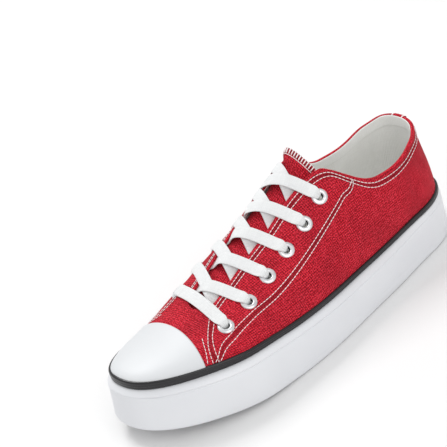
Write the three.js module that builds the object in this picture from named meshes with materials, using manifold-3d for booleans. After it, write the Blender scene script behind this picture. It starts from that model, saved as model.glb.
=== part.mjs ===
// Low canvas sneaker, left shoe: moulded sole with foxing tape and pinstripe, hollow canvas
// upper, rubber toe cap, tongue, insole, twelve eyelets and flat laces.
// Millimetres. +X runs from heel to toe, +Y to the outer (lateral) side, +Z up.

import * as THREE from 'three';
import { ParametricGeometry } from 'three/addons/geometries/ParametricGeometry.js';
import { mergeGeometries, mergeVertices } from 'three/addons/utils/BufferGeometryUtils.js';
import Module from 'manifold-3d';

const wasm = await Module();
wasm.setup();

// ---------------------------------------------------------------- driving dimensions
const SOLE_LENGTH = 268;
const WALL = 2.0;                 // canvas, lining and the glue between them
const GAP = 0.3;                  // between pieces that touch
const SOLE_HEIGHT = 24;           // floor to the bed that the foot stands on
const TOE_SPRING = 12;
const SPRING_START = 160;
const STRIPE_HEIGHT = 2.5;
const FEATHER_RISE = 2.8;         // stripe top above the top of the foxing tape
const INSOLE_THICKNESS = 3.5;
const FOXING_THICKNESS = 2.3;
const TOE_LEAN = { from: 215, amount: 2.4 };   // how far the tape leans in round the toe
const COLLAR_FRONT = 91;          // station where the collar ends and the eyestay starts
const THROAT_END = 200;
const FAN_CENTRE = 228;           // ridge point that the toe ribs run to

// Sole seen from above: centre line and half width at stations from the heel.
const CENTRE_LINE = [
  { x: 0, y: -0.4 }, { x: 60, y: 1.3 }, { x: 100, y: 3.5 }, { x: 140, y: 3.3 },
  { x: 180, y: -1.8 }, { x: 220, y: -4.6 }, { x: 268, y: -12.5 },
];
const HALF_WIDTH = [
  { x: 0, w: 35.2 }, { x: 35, w: 34.6 }, { x: 70, w: 36.9 }, { x: 100, w: 37.7 },
  { x: 140, w: 40.9 }, { x: 175, w: 44.3 }, { x: 200, w: 45.2 }, { x: 230, w: 43 }, { x: 268, w: 43.5 },
];
const TOE_ROUND = { start: 180, power: 2.3 };
const HEEL_ROUND = { end: 40, power: 2.4 };

// Top of the foxing tape above the sole's underside, and how far in the canvas stands.
const TAPE_TOP = [
  { x: 0, z: 30.3 }, { x: 116, z: 28.6 }, { x: 157, z: 30.5 }, { x: 185, z: 31.6 },
  { x: 212, z: 31.2 }, { x: 240, z: 30.0 }, { x: 268, z: 27.5 },
];
const CANVAS_INSET = [
  { x: 0, d: 2.3 }, { x: 30, d: 3.0 }, { x: 80, d: 5.4 }, { x: 180, d: 5.6 },
  { x: 230, d: 6.6 }, { x: 268, d: 7.3 },
];

// Collar rim at each station: its height and, behind the ankle, its x and half widths.
const RIM = [
  { station: 0, x: 5.0, z: 79.2, outer: 24.0, inner: 21.0 },
  { station: 3, x: 7.0, z: 78.8, outer: 24.3, inner: 21.0 },
  { station: 6, x: 9.0, z: 78.3, outer: 24.6, inner: 21.2 },
  { station: 14, x: 16.5, z: 76.4, outer: 26.4, inner: 21.8 },
  { station: 24, x: 24.5, z: 74.9, outer: 26.8, inner: 22.2 },
  { station: 36, x: 34.8, z: 72.4, outer: 27.8, inner: 22.8 },
  { station: 47, x: 45.4, z: 70.3, outer: 28.4, inner: 23.2 },
  { station: 57, x: 55.5, z: 70.6, outer: 28.0, inner: 23.2 },
  { station: 64.5, x: 63.0, z: 72.6, outer: 27.0, inner: 22.4 },
  { station: 71.5, x: 70.0, z: 77.0, outer: 25.0, inner: 21.0 },
  { station: 77.2, x: 75.6, z: 83.2, outer: 22.6, inner: 19.6 },
  { station: 83.6, x: 81.8, z: 89.4, outer: 20.0, inner: 18.0 },
  { station: 91, x: 88.0, z: 95.0, outer: 17.0, inner: 16.4 },
];
const COLLAR_BLEND = { from: 34, to: 58 };   // where heel ribs turn into instep ribs

// Ridge of the instep and toe box, with the throat's half width on it.
const RIDGE = [
  { x: 30, y: -5.0, z: 132.0, lean: -6.0, throatOuter: 22.0, throatInner: 14.0 },
  { x: 60, y: -6.5, z: 118.8, lean: -5.0, throatOuter: 22.0, throatInner: 13.0 },
  { x: 82, y: -10.8, z: 103.3, lean: -4.0, throatOuter: 20.5, throatInner: 9.5 },
  { x: 91, y: -12.6, z: 98.8, lean: -3.0, throatOuter: 17.4, throatInner: 8.8 },
  { x: 110, y: -13.6, z: 89.8, lean: -1.5, throatOuter: 15.2, throatInner: 8.6 },
  { x: 140, y: -12.8, z: 76.4, lean: 0, throatOuter: 14.8, throatInner: 8.6 },
  { x: 160, y: -10.6, z: 69.0, lean: 0, throatOuter: 13.0, throatInner: 9.2 },
  { x: 180, y: -8.2, z: 61.9, lean: 0, throatOuter: 12.0, throatInner: 10.0 },
  { x: 200, y: -6.2, z: 55.6, lean: 0, throatOuter: 11.6, throatInner: 10.8 },
  { x: 216, y: -4.6, z: 52.2, lean: 0, throatOuter: 11.0, throatInner: 11.0 },
  { x: 228, y: -4.6, z: 50.6, lean: 0, throatOuter: 11.0, throatInner: 11.0 },
];
const THROAT_ROUND = 12;          // length of the rounded front end of the throat

// Rib shape: rise before it turns in, flatness over the ridge (outer and inner side), bulge.
const RIB_SHAPE = [
  { x: 0, riseOuter: 0.38, riseInner: 0.38, flatOuter: 0.30, flatInner: 0.38, bulge: 0.5 },
  { x: 60, riseOuter: 0.40, riseInner: 0.42, flatOuter: 0.30, flatInner: 0.36, bulge: 1.6 },
  { x: 91, riseOuter: 0.42, riseInner: 0.62, flatOuter: 0.28, flatInner: 0.66, bulge: 2.0 },
  { x: 140, riseOuter: 0.38, riseInner: 0.72, flatOuter: 0.25, flatInner: 0.72, bulge: 2.0 },
  { x: 180, riseOuter: 0.40, riseInner: 0.64, flatOuter: 0.30, flatInner: 0.66, bulge: 1.6 },
  { x: 215, riseOuter: 0.55, riseInner: 0.58, flatOuter: 0.55, flatInner: 0.58, bulge: 0.6 },
  { x: 228, riseOuter: 0.60, riseInner: 0.60, flatOuter: 0.60, flatInner: 0.60, bulge: 0.3 },
  { x: 268, riseOuter: 0.62, riseInner: 0.62, flatOuter: 0.60, flatInner: 0.60, bulge: 0 },
];
const COLLAR_RISE = 0.38;
const COLLAR_DROP = 0.33;

// Eyelet pairs, from the toe end to the collar: station on the outer and on the inner side, and
// the way over the canvas from the throat's edge on either side.
const EYELETS = [
  { outer: 199, inner: 190, reachOuter: 15.7, reachInner: 14.0 },
  { outer: 177, inner: 170.5, reachOuter: 17.5, reachInner: 14.5 },
  { outer: 156.5, inner: 152, reachOuter: 17.4, reachInner: 14.5 },
  { outer: 136, inner: 133.5, reachOuter: 16.8, reachInner: 14.5 },
  { outer: 116.5, inner: 115.5, reachOuter: 17.2, reachInner: 14.0 },
  { outer: 98.5, inner: 97.5, reachOuter: 13.8, reachInner: 12.5 },
];
const SIDES = [['outer', 1], ['inner', -1]];
const EYELET = { flange: 5.3, barrel: 2.9, bore: 2.3, lip: 0.6, hole: 3.3, segments: 10 };

const LACE = { width: 8, thickness: 1.2, rise: 0.6, overEyelet: 2.1, overLace: 2.6, start: 5.5 };
const TONGUE = { top: 91, end: 212, thickness: 2.2, corner: 5, halfTop: 20, half: 22, inner: 6, lift: 8.4, round: 2.8, fall: 102 };
const TOE_CAP = { ridge: 219, curve: 0.0036, skew: 0.11, thickness: 1.0 };
const HEEL_STRIP = { halfWidth: 6, thickness: 0.8 };
const LUGS = { rim: 7, depth: 2, groove: 3, pitch: 11, heelEnd: 84, ballStart: 142, toeEnd: 246 };
const ARCH_RECESS = 1.2;

// ---------------------------------------------------------------- tables and curves
/** Smooth value of one column of a table at x. */
function read(rows, column, x, key = 'x') {
  const last = rows.length - 1;
  const at = THREE.MathUtils.clamp(x, rows[0][key], rows[last][key]);
  let i = 0;
  while (i < last - 1 && at >= rows[i + 1][key]) i += 1;
  const slope = (k) => (rows[k + 1][column] - rows[k][column]) / (rows[k + 1][key] - rows[k][key]);
  const tangent = (k) => {
    if (k === 0) return slope(0);
    if (k === last) return slope(last - 1);
    const before = rows[k][key] - rows[k - 1][key];
    const after = rows[k + 1][key] - rows[k][key];
    return (after * slope(k - 1) + before * slope(k)) / (after + before);
  };
  const step = rows[i + 1][key] - rows[i][key];
  const t = (at - rows[i][key]) / step;
  const a = (1 + 2 * t) * (1 - t) ** 2;
  const b = t * (1 - t) ** 2;
  const c = t * t * (3 - 2 * t);
  const d = t * t * (t - 1);
  return a * rows[i][column] + b * step * tangent(i) + c * rows[i + 1][column] + d * step * tangent(i + 1);
}

/** Height of the sole's underside: flat to the ball, then rising to the toe. */
function spring(x) {
  const t = THREE.MathUtils.clamp((x - SPRING_START) / (SOLE_LENGTH - SPRING_START), 0, 1);
  return TOE_SPRING * t ** 1.6;
}

/** How much of the full width is left near the rounded heel and toe. */
function rounding(x) {
  const toe = THREE.MathUtils.clamp((x - TOE_ROUND.start) / (SOLE_LENGTH - TOE_ROUND.start), 0, 1);
  const heel = THREE.MathUtils.clamp((HEEL_ROUND.end - x) / HEEL_ROUND.end, 0, 1);
  const toePart = (1 - toe ** TOE_ROUND.power) ** (1 / TOE_ROUND.power);
  const heelPart = (1 - heel ** HEEL_ROUND.power) ** (1 / HEEL_ROUND.power);
  return toePart * heelPart;
}

const stationToAngle = (x) => Math.acos(THREE.MathUtils.clamp(1 - (2 * x) / SOLE_LENGTH, -1, 1));
const angleToStation = (angle) => (SOLE_LENGTH / 2) * (1 - Math.cos(angle));

function outlinePoint(angle, side) {
  const x = angleToStation(angle);
  const y = read(CENTRE_LINE, 'y', x) + side * read(HALF_WIDTH, 'w', x) * rounding(x);
  return new THREE.Vector2(x, y);
}

/** Unit vector pointing inward from the outline, square to it. */
function inwardNormal(x, side) {
  const angle = stationToAngle(x);
  if (angle < 1e-4) return new THREE.Vector2(1, 0);
  if (angle > Math.PI - 1e-4) return new THREE.Vector2(-1, 0);
  const ahead = outlinePoint(Math.min(angle + 2e-3, Math.PI), side);
  const behind = outlinePoint(Math.max(angle - 2e-3, 0), side);
  const along = ahead.sub(behind).normalize();
  return new THREE.Vector2(side * along.y, -side * along.x);
}

/** Sole outline at a station, moved inward by inset, at a height above the underside. */
function edgePoint(x, side, inset, height) {
  const p = outlinePoint(stationToAngle(x), side);
  p.addScaledVector(inwardNormal(x, side), inset);
  return new THREE.Vector3(p.x, p.y, spring(x) + height);
}

/** Stations that share one side's length evenly between two stations, both ends included. */
function evenStations(from, to, steps) {
  const fine = 300;
  const a0 = stationToAngle(from);
  const a1 = stationToAngle(to);
  const angleAt = (k) => a0 + ((a1 - a0) * k) / fine;
  const lengths = [0];
  for (let k = 1; k <= fine; k += 1) {
    lengths.push(lengths[k - 1] + outlinePoint(angleAt(k), 1).distanceTo(outlinePoint(angleAt(k - 1), 1)));
  }
  const stations = [from];
  for (let i = 1, k = 0; i < steps; i += 1) {
    const target = (lengths[fine] * i) / steps;
    while (k < fine - 1 && lengths[k + 1] < target) k += 1;
    const share = (target - lengths[k]) / (lengths[k + 1] - lengths[k]);
    stations.push(angleToStation(angleAt(k + share)));
  }
  stations.push(to);
  return stations;
}

const HEEL_STATIONS = evenStations(0, 40, 8);
const TOE_STATIONS = evenStations(THROAT_END, SOLE_LENGTH, 12);
const SOLE_STATIONS = [...HEEL_STATIONS, ...evenStations(40, THROAT_END, 14).slice(1, -1), ...TOE_STATIONS];

// ---------------------------------------------------------------- the last's surface
const UP = new THREE.Vector3(0, 0, 1);

/** Where a rib leaves the sole, and the way inward there. */
function ribFoot(x, side) {
  const foot = edgePoint(x, side, read(CANVAS_INSET, 'd', x), read(TAPE_TOP, 'z', x) + FEATHER_RISE);
  const inward = inwardNormal(x, side);
  return { foot, inward: new THREE.Vector3(inward.x, inward.y, 0) };
}

function ridgePoint(x) {
  return new THREE.Vector3(x + read(RIDGE, 'lean', x), read(RIDGE, 'y', x), read(RIDGE, 'z', x));
}

const FAN_SLOPE = ridgePoint(FAN_CENTRE).z - ridgePoint(FAN_CENTRE - 1).z;

/** Rib from the sole to the ridge, ahead of the collar; at is 0 at the sole, 1 on the ridge. */
function instepRib(x, side, at) {
  const { foot, inward } = ribFoot(x, side);
  const top = ridgePoint(Math.min(x, FAN_CENTRE));
  const shape = side > 0 ? 'Outer' : 'Inner';
  const rise = read(RIB_SHAPE, `rise${shape}`, x) * (top.z - foot.z);
  const reach = Math.hypot(foot.x - top.x, foot.y - top.y);
  const flat = read(RIB_SHAPE, `flat${shape}`, x) * reach;
  const lower = foot.clone().addScaledVector(inward, -read(RIB_SHAPE, 'bulge', x)).addScaledVector(UP, rise);
  const arrival = new THREE.Vector3(0, side, 0);
  if (x > FAN_CENTRE) {
    arrival.set((foot.x - top.x) / reach, (foot.y - top.y) / reach, 0);
    arrival.z = FAN_SLOPE * arrival.x;
  }
  const upper = top.clone().addScaledVector(arrival, flat);
  return new THREE.CubicBezierCurve3(foot, lower, upper, top).getPoint(at);
}

const edgeMemory = new Map();

/** Place on the rib where the throat's edge crosses it; 1 where the vamp is closed. */
function throatEdge(x, side) {
  if (x >= THROAT_END - 1e-6) return 1;
  const key = `${x.toFixed(4)} ${side}`;
  if (edgeMemory.has(key)) return edgeMemory.get(key);
  const ridge = ridgePoint(x);
  const start = THROAT_END - THROAT_ROUND;
  const round = x > start ? Math.sqrt(1 - ((x - start) / THROAT_ROUND) ** 2) : 1;
  const gap = read(RIDGE, side > 0 ? 'throatOuter' : 'throatInner', x) * round;
  let low = 0.3;
  let high = 1;
  for (let i = 0; i < 36; i += 1) {
    const middle = (low + high) / 2;
    if (side * (instepRib(x, side, middle).y - ridge.y) > gap) low = middle;
    else high = middle;
  }
  edgeMemory.set(key, high);
  return high;
}

/** Place on a collar rib's instep form where the rim cuts it off. */
function rimEdge(x, side) {
  const key = `rim ${x.toFixed(4)} ${side}`;
  if (edgeMemory.has(key)) return edgeMemory.get(key);
  const corner = instepRib(COLLAR_FRONT, side, throatEdge(COLLAR_FRONT, side)).z;
  const share = THREE.MathUtils.smoothstep(x, 70, COLLAR_FRONT);
  const height = read(RIM, 'z', x, 'station') + share * (corner - RIM[RIM.length - 1].z);
  let low = 0;
  let high = 1;
  for (let i = 0; i < 36; i += 1) {
    const middle = (low + high) / 2;
    if (instepRib(x, side, middle).z < height) low = middle;
    else high = middle;
  }
  edgeMemory.set(key, high);
  return high;
}

/** Rib round the heel, from the sole to the rim. */
function heelRib(x, side, at) {
  const { foot, inward } = ribFoot(x, side);
  const half = read(RIM, side > 0 ? 'outer' : 'inner', x, 'station') * rounding(x);
  const rim = new THREE.Vector3(
    read(RIM, 'x', x, 'station'),
    read(CENTRE_LINE, 'y', x) + side * half,
    read(RIM, 'z', x, 'station'),
  );
  const height = rim.z - foot.z;
  const bulge = read(RIB_SHAPE, 'bulge', x);
  const lower = foot.clone().addScaledVector(inward, -bulge).addScaledVector(UP, COLLAR_RISE * height);
  const upper = rim.clone().addScaledVector(inward, -bulge / 2).addScaledVector(UP, -COLLAR_DROP * height);
  return new THREE.CubicBezierCurve3(foot, lower, upper, rim).getPoint(at);
}

/** Rib of the collar: round the heel, then part of the instep's form up to the rim. */
function collarRib(x, side, at) {
  const blend = THREE.MathUtils.smoothstep(x, COLLAR_BLEND.from, COLLAR_BLEND.to);
  if (blend === 0) return heelRib(x, side, at);
  const front = instepRib(x, side, at * rimEdge(x, side));
  if (blend === 1) return front;
  return heelRib(x, side, at).lerp(front, blend);
}

/** Point of the upper's outer face; at is 0 at the sole and 1 at the upper's own edge. */
function facePoint(x, side, at) {
  if (x < COLLAR_FRONT) return collarRib(x, side, at);
  return instepRib(x, side, at * throatEdge(x, side));
}

/** Outward normal of a surface given as a function of angle and place on the rib. */
function surfaceNormal(pointAt, x, side, at) {
  const angle = stationToAngle(x);
  const low = Math.max(at - 1e-3, 0);
  const high = Math.min(at + 1e-3, 1);
  const upward = pointAt(x, side, high).sub(pointAt(x, side, low));
  let along = new THREE.Vector3(0, side, 0);
  if (angle > Math.PI - 1e-4) along.set(0, -side, 0);
  else if (angle > 1e-4) {
    const ahead = angleToStation(Math.min(angle + 1e-3, Math.PI));
    const behind = angleToStation(angle - 1e-3);
    along = pointAt(ahead, side, at).sub(pointAt(behind, side, at));
  }
  return along.cross(upward).multiplyScalar(-side).normalize();
}

/** Outward normal where the two sides meet on the ridge. */
function ridgeNormal(x) {
  if (x >= FAN_CENTRE) return new THREE.Vector3(-FAN_SLOPE, 0, 1).normalize();
  const along = ridgePoint(x + 0.5).sub(ridgePoint(x - 0.5));
  return along.cross(new THREE.Vector3(0, 1, 0)).normalize();
}

function instepNormal(x, side, at) {
  if (at > 0.9995) return ridgeNormal(x);
  return surfaceNormal(instepRib, x, side, at);
}

function faceNormal(x, side, at) {
  if (x < COLLAR_BLEND.to) return surfaceNormal(collarRib, x, side, at);
  if (x < COLLAR_FRONT) return instepNormal(x, side, at * rimEdge(x, side));
  return instepNormal(x, side, at * throatEdge(x, side));
}

/** The upper's outer face moved out by a distance, or in where it is negative. */
function offsetFace(x, side, at, distance) {
  return facePoint(x, side, at).addScaledVector(faceNormal(x, side, at), distance);
}

/** The same over the throat, where there is no canvas. */
function offsetInstep(x, side, at, distance) {
  return instepRib(x, side, at).addScaledVector(instepNormal(x, side, at), distance);
}

/** Place on an instep rib that lies a given distance sideways from the ridge. */
function instepPlace(x, side, sideways) {
  const ridge = ridgePoint(x);
  let low = 0.2;
  let high = 1;
  for (let i = 0; i < 30; i += 1) {
    const middle = (low + high) / 2;
    if (side * (instepRib(x, side, middle).y - ridge.y) > sideways) low = middle;
    else high = middle;
  }
  return high;
}

// ---------------------------------------------------------------- building closed solids
/** A grid of points as a patch; every place is worked out once, at whole steps. */
function patch(columns, rows, pointAt, inward = false) {
  const surface = new ParametricGeometry((u, v, target) => {
    target.copy(pointAt(Math.round(u * columns), Math.round(v * rows)));
  }, columns, rows);
  if (inward) {
    const index = surface.index.array;
    for (let i = 0; i < index.length; i += 3) [index[i], index[i + 2]] = [index[i + 2], index[i]];
  }
  return surface;
}

/** Joins patches along their shared edges, drops closed-up triangles and faces them outward. */
function weld(patches) {
  const joined = mergeGeometries(patches);
  joined.deleteAttribute('normal');
  joined.deleteAttribute('uv');
  const welded = mergeVertices(joined, 1e-3);
  const from = welded.index.array;
  const kept = [];
  for (let i = 0; i < from.length; i += 3) {
    const [a, b, c] = [from[i], from[i + 1], from[i + 2]];
    if (a !== b && b !== c && c !== a) kept.push(a, b, c);
  }
  welded.setIndex(kept);
  if (signedVolume(welded) < 0) welded.setIndex(kept.reverse());
  return welded;
}

/** A sheet with thickness: two faces of the same grid and the four edges between them. */
function shell(columns, rows, outside, inside) {
  return weld([
    patch(columns, rows, outside),
    patch(columns, rows, inside, true),
    patch(columns, 1, (i, j) => (j ? outside(i, 0) : inside(i, 0))),
    patch(columns, 1, (i, j) => (j ? inside(i, rows) : outside(i, rows))),
    patch(1, rows, (i, j) => (i ? outside(0, j) : inside(0, j))),
    patch(1, rows, (i, j) => (i ? inside(columns, j) : outside(columns, j))),
  ]);
}

function signedVolume(geometry) {
  const corners = geometry.index.array;
  const read3 = (k) => new THREE.Vector3().fromBufferAttribute(geometry.attributes.position, corners[k]);
  let sum = 0;
  for (let i = 0; i < corners.length; i += 3) sum += read3(i).dot(read3(i + 1).cross(read3(i + 2)));
  return sum / 6;
}

function toManifold(geometry) {
  let plain = geometry;
  if (geometry.attributes.uv || geometry.attributes.normal) {
    plain = geometry.clone();
    plain.deleteAttribute('normal');
    plain.deleteAttribute('uv');
    plain = mergeVertices(plain, 1e-4);
  }
  const mesh = new wasm.Mesh({
    numProp: 3,
    vertProperties: new Float32Array(plain.attributes.position.array),
    triVerts: new Uint32Array(plain.index.array),
  });
  mesh.merge();
  return new wasm.Manifold(mesh);
}

function fromManifold(body) {
  const mesh = body.getMesh();
  const geometry = new THREE.BufferGeometry();
  geometry.setAttribute('position', new THREE.BufferAttribute(new Float32Array(mesh.vertProperties), 3));
  geometry.setIndex(Array.from(mesh.triVerts));
  return geometry;
}

/** A ring round the outline; section gives its corners at a station, in order. */
function ring(section) {
  const outer = SOLE_STATIONS.map((x) => ({ x, side: 1 }));
  const inner = SOLE_STATIONS.slice(1, -1).map((x) => ({ x, side: -1 })).reverse();
  const corners = [...outer, ...inner].map(({ x, side }) => (
    section(x).map(([inset, height]) => edgePoint(x, side, inset, height))
  ));
  const around = corners.length;
  const sides = corners[0].length;
  return weld([patch(around, sides, (i, j) => corners[i % around][j % sides])]);
}

/** A plate with the outline's shape between two heights, made of strips across. */
function plate(inset, low, high) {
  const across = SOLE_STATIONS.map((x) => [
    edgePoint(x, -1, inset(x), low),
    edgePoint(x, 1, inset(x), low),
    edgePoint(x, 1, inset(x), high),
    edgePoint(x, -1, inset(x), high),
  ]);
  return weld([patch(across.length - 1, 4, (i, j) => across[i][j % 4])]);
}

// ---------------------------------------------------------------- sole
function outsoleShape() {
  const inset = FOXING_THICKNESS + GAP;
  const body = toManifold(plate(() => inset, 0, SOLE_HEIGHT));
  const field = toManifold(plate(() => inset + LUGS.rim, -5, SOLE_HEIGHT));
  let cuts = null;
  const cut = (x, width, depth) => {
    const box = new THREE.BoxGeometry(width, 2 * SOLE_LENGTH, 2 * depth);
    box.rotateY(-Math.atan(spring(x + 1) - spring(x)));
    box.translate(x, 0, spring(x));
    const body1 = toManifold(box);
    cuts = cuts ? cuts.add(body1) : body1;
  };
  for (let x = LUGS.pitch * 1.5; x < LUGS.heelEnd; x += LUGS.pitch) cut(x, LUGS.groove, LUGS.depth);
  for (let x = LUGS.ballStart; x < LUGS.toeEnd; x += LUGS.pitch) cut(x, LUGS.groove, LUGS.depth);
  cut((LUGS.heelEnd + LUGS.ballStart) / 2, LUGS.ballStart - LUGS.heelEnd - LUGS.pitch, ARCH_RECESS);
  return fromManifold(body.subtract(cuts.intersect(field)));
}

/** Foxing tape: upright wall with a rounded shoulder that runs in to the canvas. */
function foxingShape() {
  return ring((x) => {
    const top = read(TAPE_TOP, 'z', x);
    const inside = read(CANVAS_INSET, 'd', x) - GAP;
    const bed = SOLE_HEIGHT + GAP / 2;
    const lean = TOE_LEAN.amount * THREE.MathUtils.smoothstep(x, TOE_LEAN.from, SOLE_LENGTH);
    return [
      [FOXING_THICKNESS, 0.5],
      [0.6, 0.5],
      [0, 1.8],
      [lean, top - 6.5],
      [lean + 0.35, top - 3.2],
      [0.8 * lean + 0.3 * inside + 0.4, top - 1.0],
      [0.5 * lean + 0.6 * inside, top - 0.15],
      [inside, top],
      [inside, bed],
      [FOXING_THICKNESS, bed],
    ];
  });
}

/** Pinstripe: a rubber band round the foot of the canvas, on top of the foxing tape. */
function stripeShape() {
  return ring((x) => {
    const low = read(TAPE_TOP, 'z', x) + GAP - 0.05;
    const inset = read(CANVAS_INSET, 'd', x);
    return [
      [inset - GAP, low],
      [inset - 1.5, low],
      [inset - 1.8, low + STRIPE_HEIGHT / 2],
      [inset - 1.5, low + STRIPE_HEIGHT],
      [inset - GAP, low + STRIPE_HEIGHT],
    ];
  });
}

function insoleShape() {
  const low = SOLE_HEIGHT + GAP;
  const inset = (x) => read(CANVAS_INSET, 'd', x) + WALL + GAP;
  return plate(inset, low, low + INSOLE_THICKNESS);
}

// ---------------------------------------------------------------- upper
const RIB_ROWS = 8;

/** Stations of the upper from toe to heel, closer round the front end of the throat. */
function upperStations() {
  const collar = [47, 54, 61, 68, 74, 79, 85];
  const front = [91, 98, 106, 115, 124, 133, 142, 151, 160, 169, 178, 185, 191, 195.5, 198.4];
  return [...HEEL_STATIONS, ...collar, ...front, ...TOE_STATIONS];
}

/** Hollow canvas shell: outer face, inner face, lower edge, and the collar and throat edge. */
function upperShape() {
  const stations = upperStations();
  const outer = stations.map((x) => ({ x, side: 1 }));
  const inner = stations.slice(1, -1).map((x) => ({ x, side: -1 })).reverse();
  const around = [...outer, ...inner];
  const count = around.length;
  const place = (i) => around[i % count];
  const skirt = SOLE_HEIGHT + GAP;
  const face = (distance) => (i, j) => {
    const { x, side } = place(i);
    const inset = read(CANVAS_INSET, 'd', x) - distance;
    if (j === 0) return edgePoint(x, side, inset, skirt);
    if (j === 1) return edgePoint(x, side, inset, read(TAPE_TOP, 'z', x) + FEATHER_RISE);
    return offsetFace(x, side, (j - 1) / RIB_ROWS, distance);
  };
  const outside = face(0);
  const inside = face(-WALL);
  const rows = RIB_ROWS + 1;
  const throat = stations.indexOf(THROAT_END);
  const fromInner = count - throat;
  const rimPlace = (i) => (fromInner + i) % count;
  const patches = [
    patch(count, rows, outside),
    patch(count, rows, inside, true),
    patch(count, 1, (i, j) => (j ? outside(i, 0) : inside(i, 0))),
    patch(2 * throat, 1, (i, j) => (j ? inside(rimPlace(i), rows) : outside(rimPlace(i), rows))),
  ];
  let body = toManifold(weld(patches));
  for (const pair of EYELETS) {
    for (const [name, side] of SIDES) {
      const punch = new THREE.CylinderGeometry(EYELET.hole, EYELET.hole, 12, EYELET.segments);
      punch.applyMatrix4(eyeletPlacement(pair[name], side));
      body = body.subtract(toManifold(punch));
    }
  }
  return fromManifold(body);
}

/** Rubber toe cap: the shell between two larger forms, kept ahead of a curved front line. */
function toeCapShape() {
  const around = [
    ...TOE_STATIONS.map((x) => ({ x, side: 1 })),
    ...TOE_STATIONS.slice(0, -1).map((x) => ({ x, side: -1 })).reverse(),
  ];
  const last = around.length - 1;
  const rows = 8;
  const lift = 0.015;
  const at = (j) => lift + ((1 - lift) * j) / rows;
  const face = (distance) => (i, j) => {
    const point = offsetInstep(around[i].x, around[i].side, at(j), distance);
    return point;
  };
  const outside = face(GAP + TOE_CAP.thickness);
  const inside = face(GAP);
  const cover = toManifold(weld([
    patch(last, rows, outside),
    patch(last, rows, inside, true),
    patch(last, 1, (i, j) => (j ? outside(i, 0) : inside(i, 0))),
    patch(1, rows, (i, j) => (i ? outside(0, j) : inside(0, j))),
    patch(1, rows, (i, j) => (i ? inside(last, j) : outside(last, j))),
  ]));
  const ridge = ridgePoint(TOE_CAP.ridge);
  const edge = (y) => TOE_CAP.ridge + TOE_CAP.skew * (y - ridge.y) + TOE_CAP.curve * (y - ridge.y) ** 2;
  const plan = new THREE.Shape();
  plan.moveTo(SOLE_LENGTH + 20, -70);
  plan.lineTo(SOLE_LENGTH + 20, 70);
  for (let y = 55; y >= -60; y -= 5) plan.lineTo(edge(y), y);
  plan.closePath();
  const ahead = new THREE.ExtrudeGeometry(plan, { depth: 120, bevelEnabled: false });
  return fromManifold(cover.intersect(toManifold(ahead)));
}

/** Narrow strip that covers the seam at the back of the heel. */
function heelStripShape() {
  const places = [0.9, 0.6, 0.3, 0].map((share) => {
    const reach = HEEL_STRIP.halfWidth * share / 0.9;
    let x = 0;
    while (Math.abs(edgePoint(x, 1, 0, 0).y - edgePoint(0, 1, 0, 0).y) < reach) x += 0.01;
    return x;
  });
  const around = [
    ...places.map((x) => ({ x, side: 1 })),
    ...places.slice(0, -1).reverse().map((x) => ({ x, side: -1 })),
  ].reverse();
  const last = around.length - 1;
  const rows = 7;
  const face = (distance) => (i, j) => {
    const { x, side } = around[i];
    return offsetFace(x, side, 0.015 + (0.985 * j) / rows, distance);
  };
  const outside = face(GAP + HEEL_STRIP.thickness);
  const inside = face(GAP);
  return shell(last, rows, outside, inside);
}

/** Tongue: a padded sheet under the eyestays, lifted in the middle at its free top. */
function tongueShape() {
  const columns = 14;
  const rows = 8;
  const face = (depth) => (i, j) => {
    const share = (2 * j) / rows - 1;
    const start = TONGUE.top + TONGUE.corner * Math.abs(share) ** 3;
    const x = THREE.MathUtils.lerp(start, TONGUE.end, i / columns);
    const side = share >= 0 ? 1 : -1;
    const half = THREE.MathUtils.lerp(TONGUE.halfTop, TONGUE.half, THREE.MathUtils.smoothstep(x, 95, 112));
    const sideways = (half - (side > 0 ? 0 : TONGUE.inner)) * Math.abs(share);
    const at = share === 0 ? 1 : instepPlace(x, side, sideways);
    const open = read(RIDGE, side > 0 ? 'throatOuter' : 'throatInner', x);
    const across = Math.min(sideways / open, 1);
    const round = side > 0 ? TONGUE.round : 0.25 * TONGUE.round;
    const dome = TONGUE.lift * (1 - across ** 2) ** 2 + 4 * round * across ** 2 * (1 - across ** 2);
    const lift = dome * (1 - THREE.MathUtils.smoothstep(x, TONGUE.top, TONGUE.fall));
    const nearEnd = THREE.MathUtils.smoothstep(x, 186, 198);
    const nearTop = 1 - THREE.MathUtils.smoothstep(x, 106, 118);
    const clear = GAP * (2 + 2 * nearEnd + 2.5 * nearTop);
    return offsetInstep(x, side, at, lift - WALL - clear - depth);
  };
  const outside = face(0);
  const inside = face(TONGUE.thickness);
  return shell(columns, rows, outside, inside);
}

// ---------------------------------------------------------------- eyelets and laces
/** Place of an eyelet on its rib, measured over the canvas from the throat's side edge. */
function eyeletAt(station, side) {
  const edge = instepPlace(station, side, read(RIDGE, side > 0 ? 'throatOuter' : 'throatInner', station));
  const pair = EYELETS.find(({ outer, inner }) => station === (side > 0 ? outer : inner));
  const reach = side > 0 ? pair.reachOuter : pair.reachInner;
  let travelled = 0;
  let at = edge;
  let last = instepRib(station, side, at);
  while (travelled < reach) {
    at -= 0.002;
    const next = instepRib(station, side, at);
    travelled += next.distanceTo(last);
    last = next;
  }
  return at;
}

/** Turns the Y axis of a lathe or cylinder to the canvas's normal at an eyelet. */
function eyeletPlacement(station, side) {
  const at = eyeletAt(station, side);
  const centre = instepRib(station, side, at);
  const normal = instepNormal(station, side, at);
  const turn = new THREE.Quaternion().setFromUnitVectors(new THREE.Vector3(0, 1, 0), normal);
  return new THREE.Matrix4().compose(centre, turn, new THREE.Vector3(1, 1, 1));
}

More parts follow.
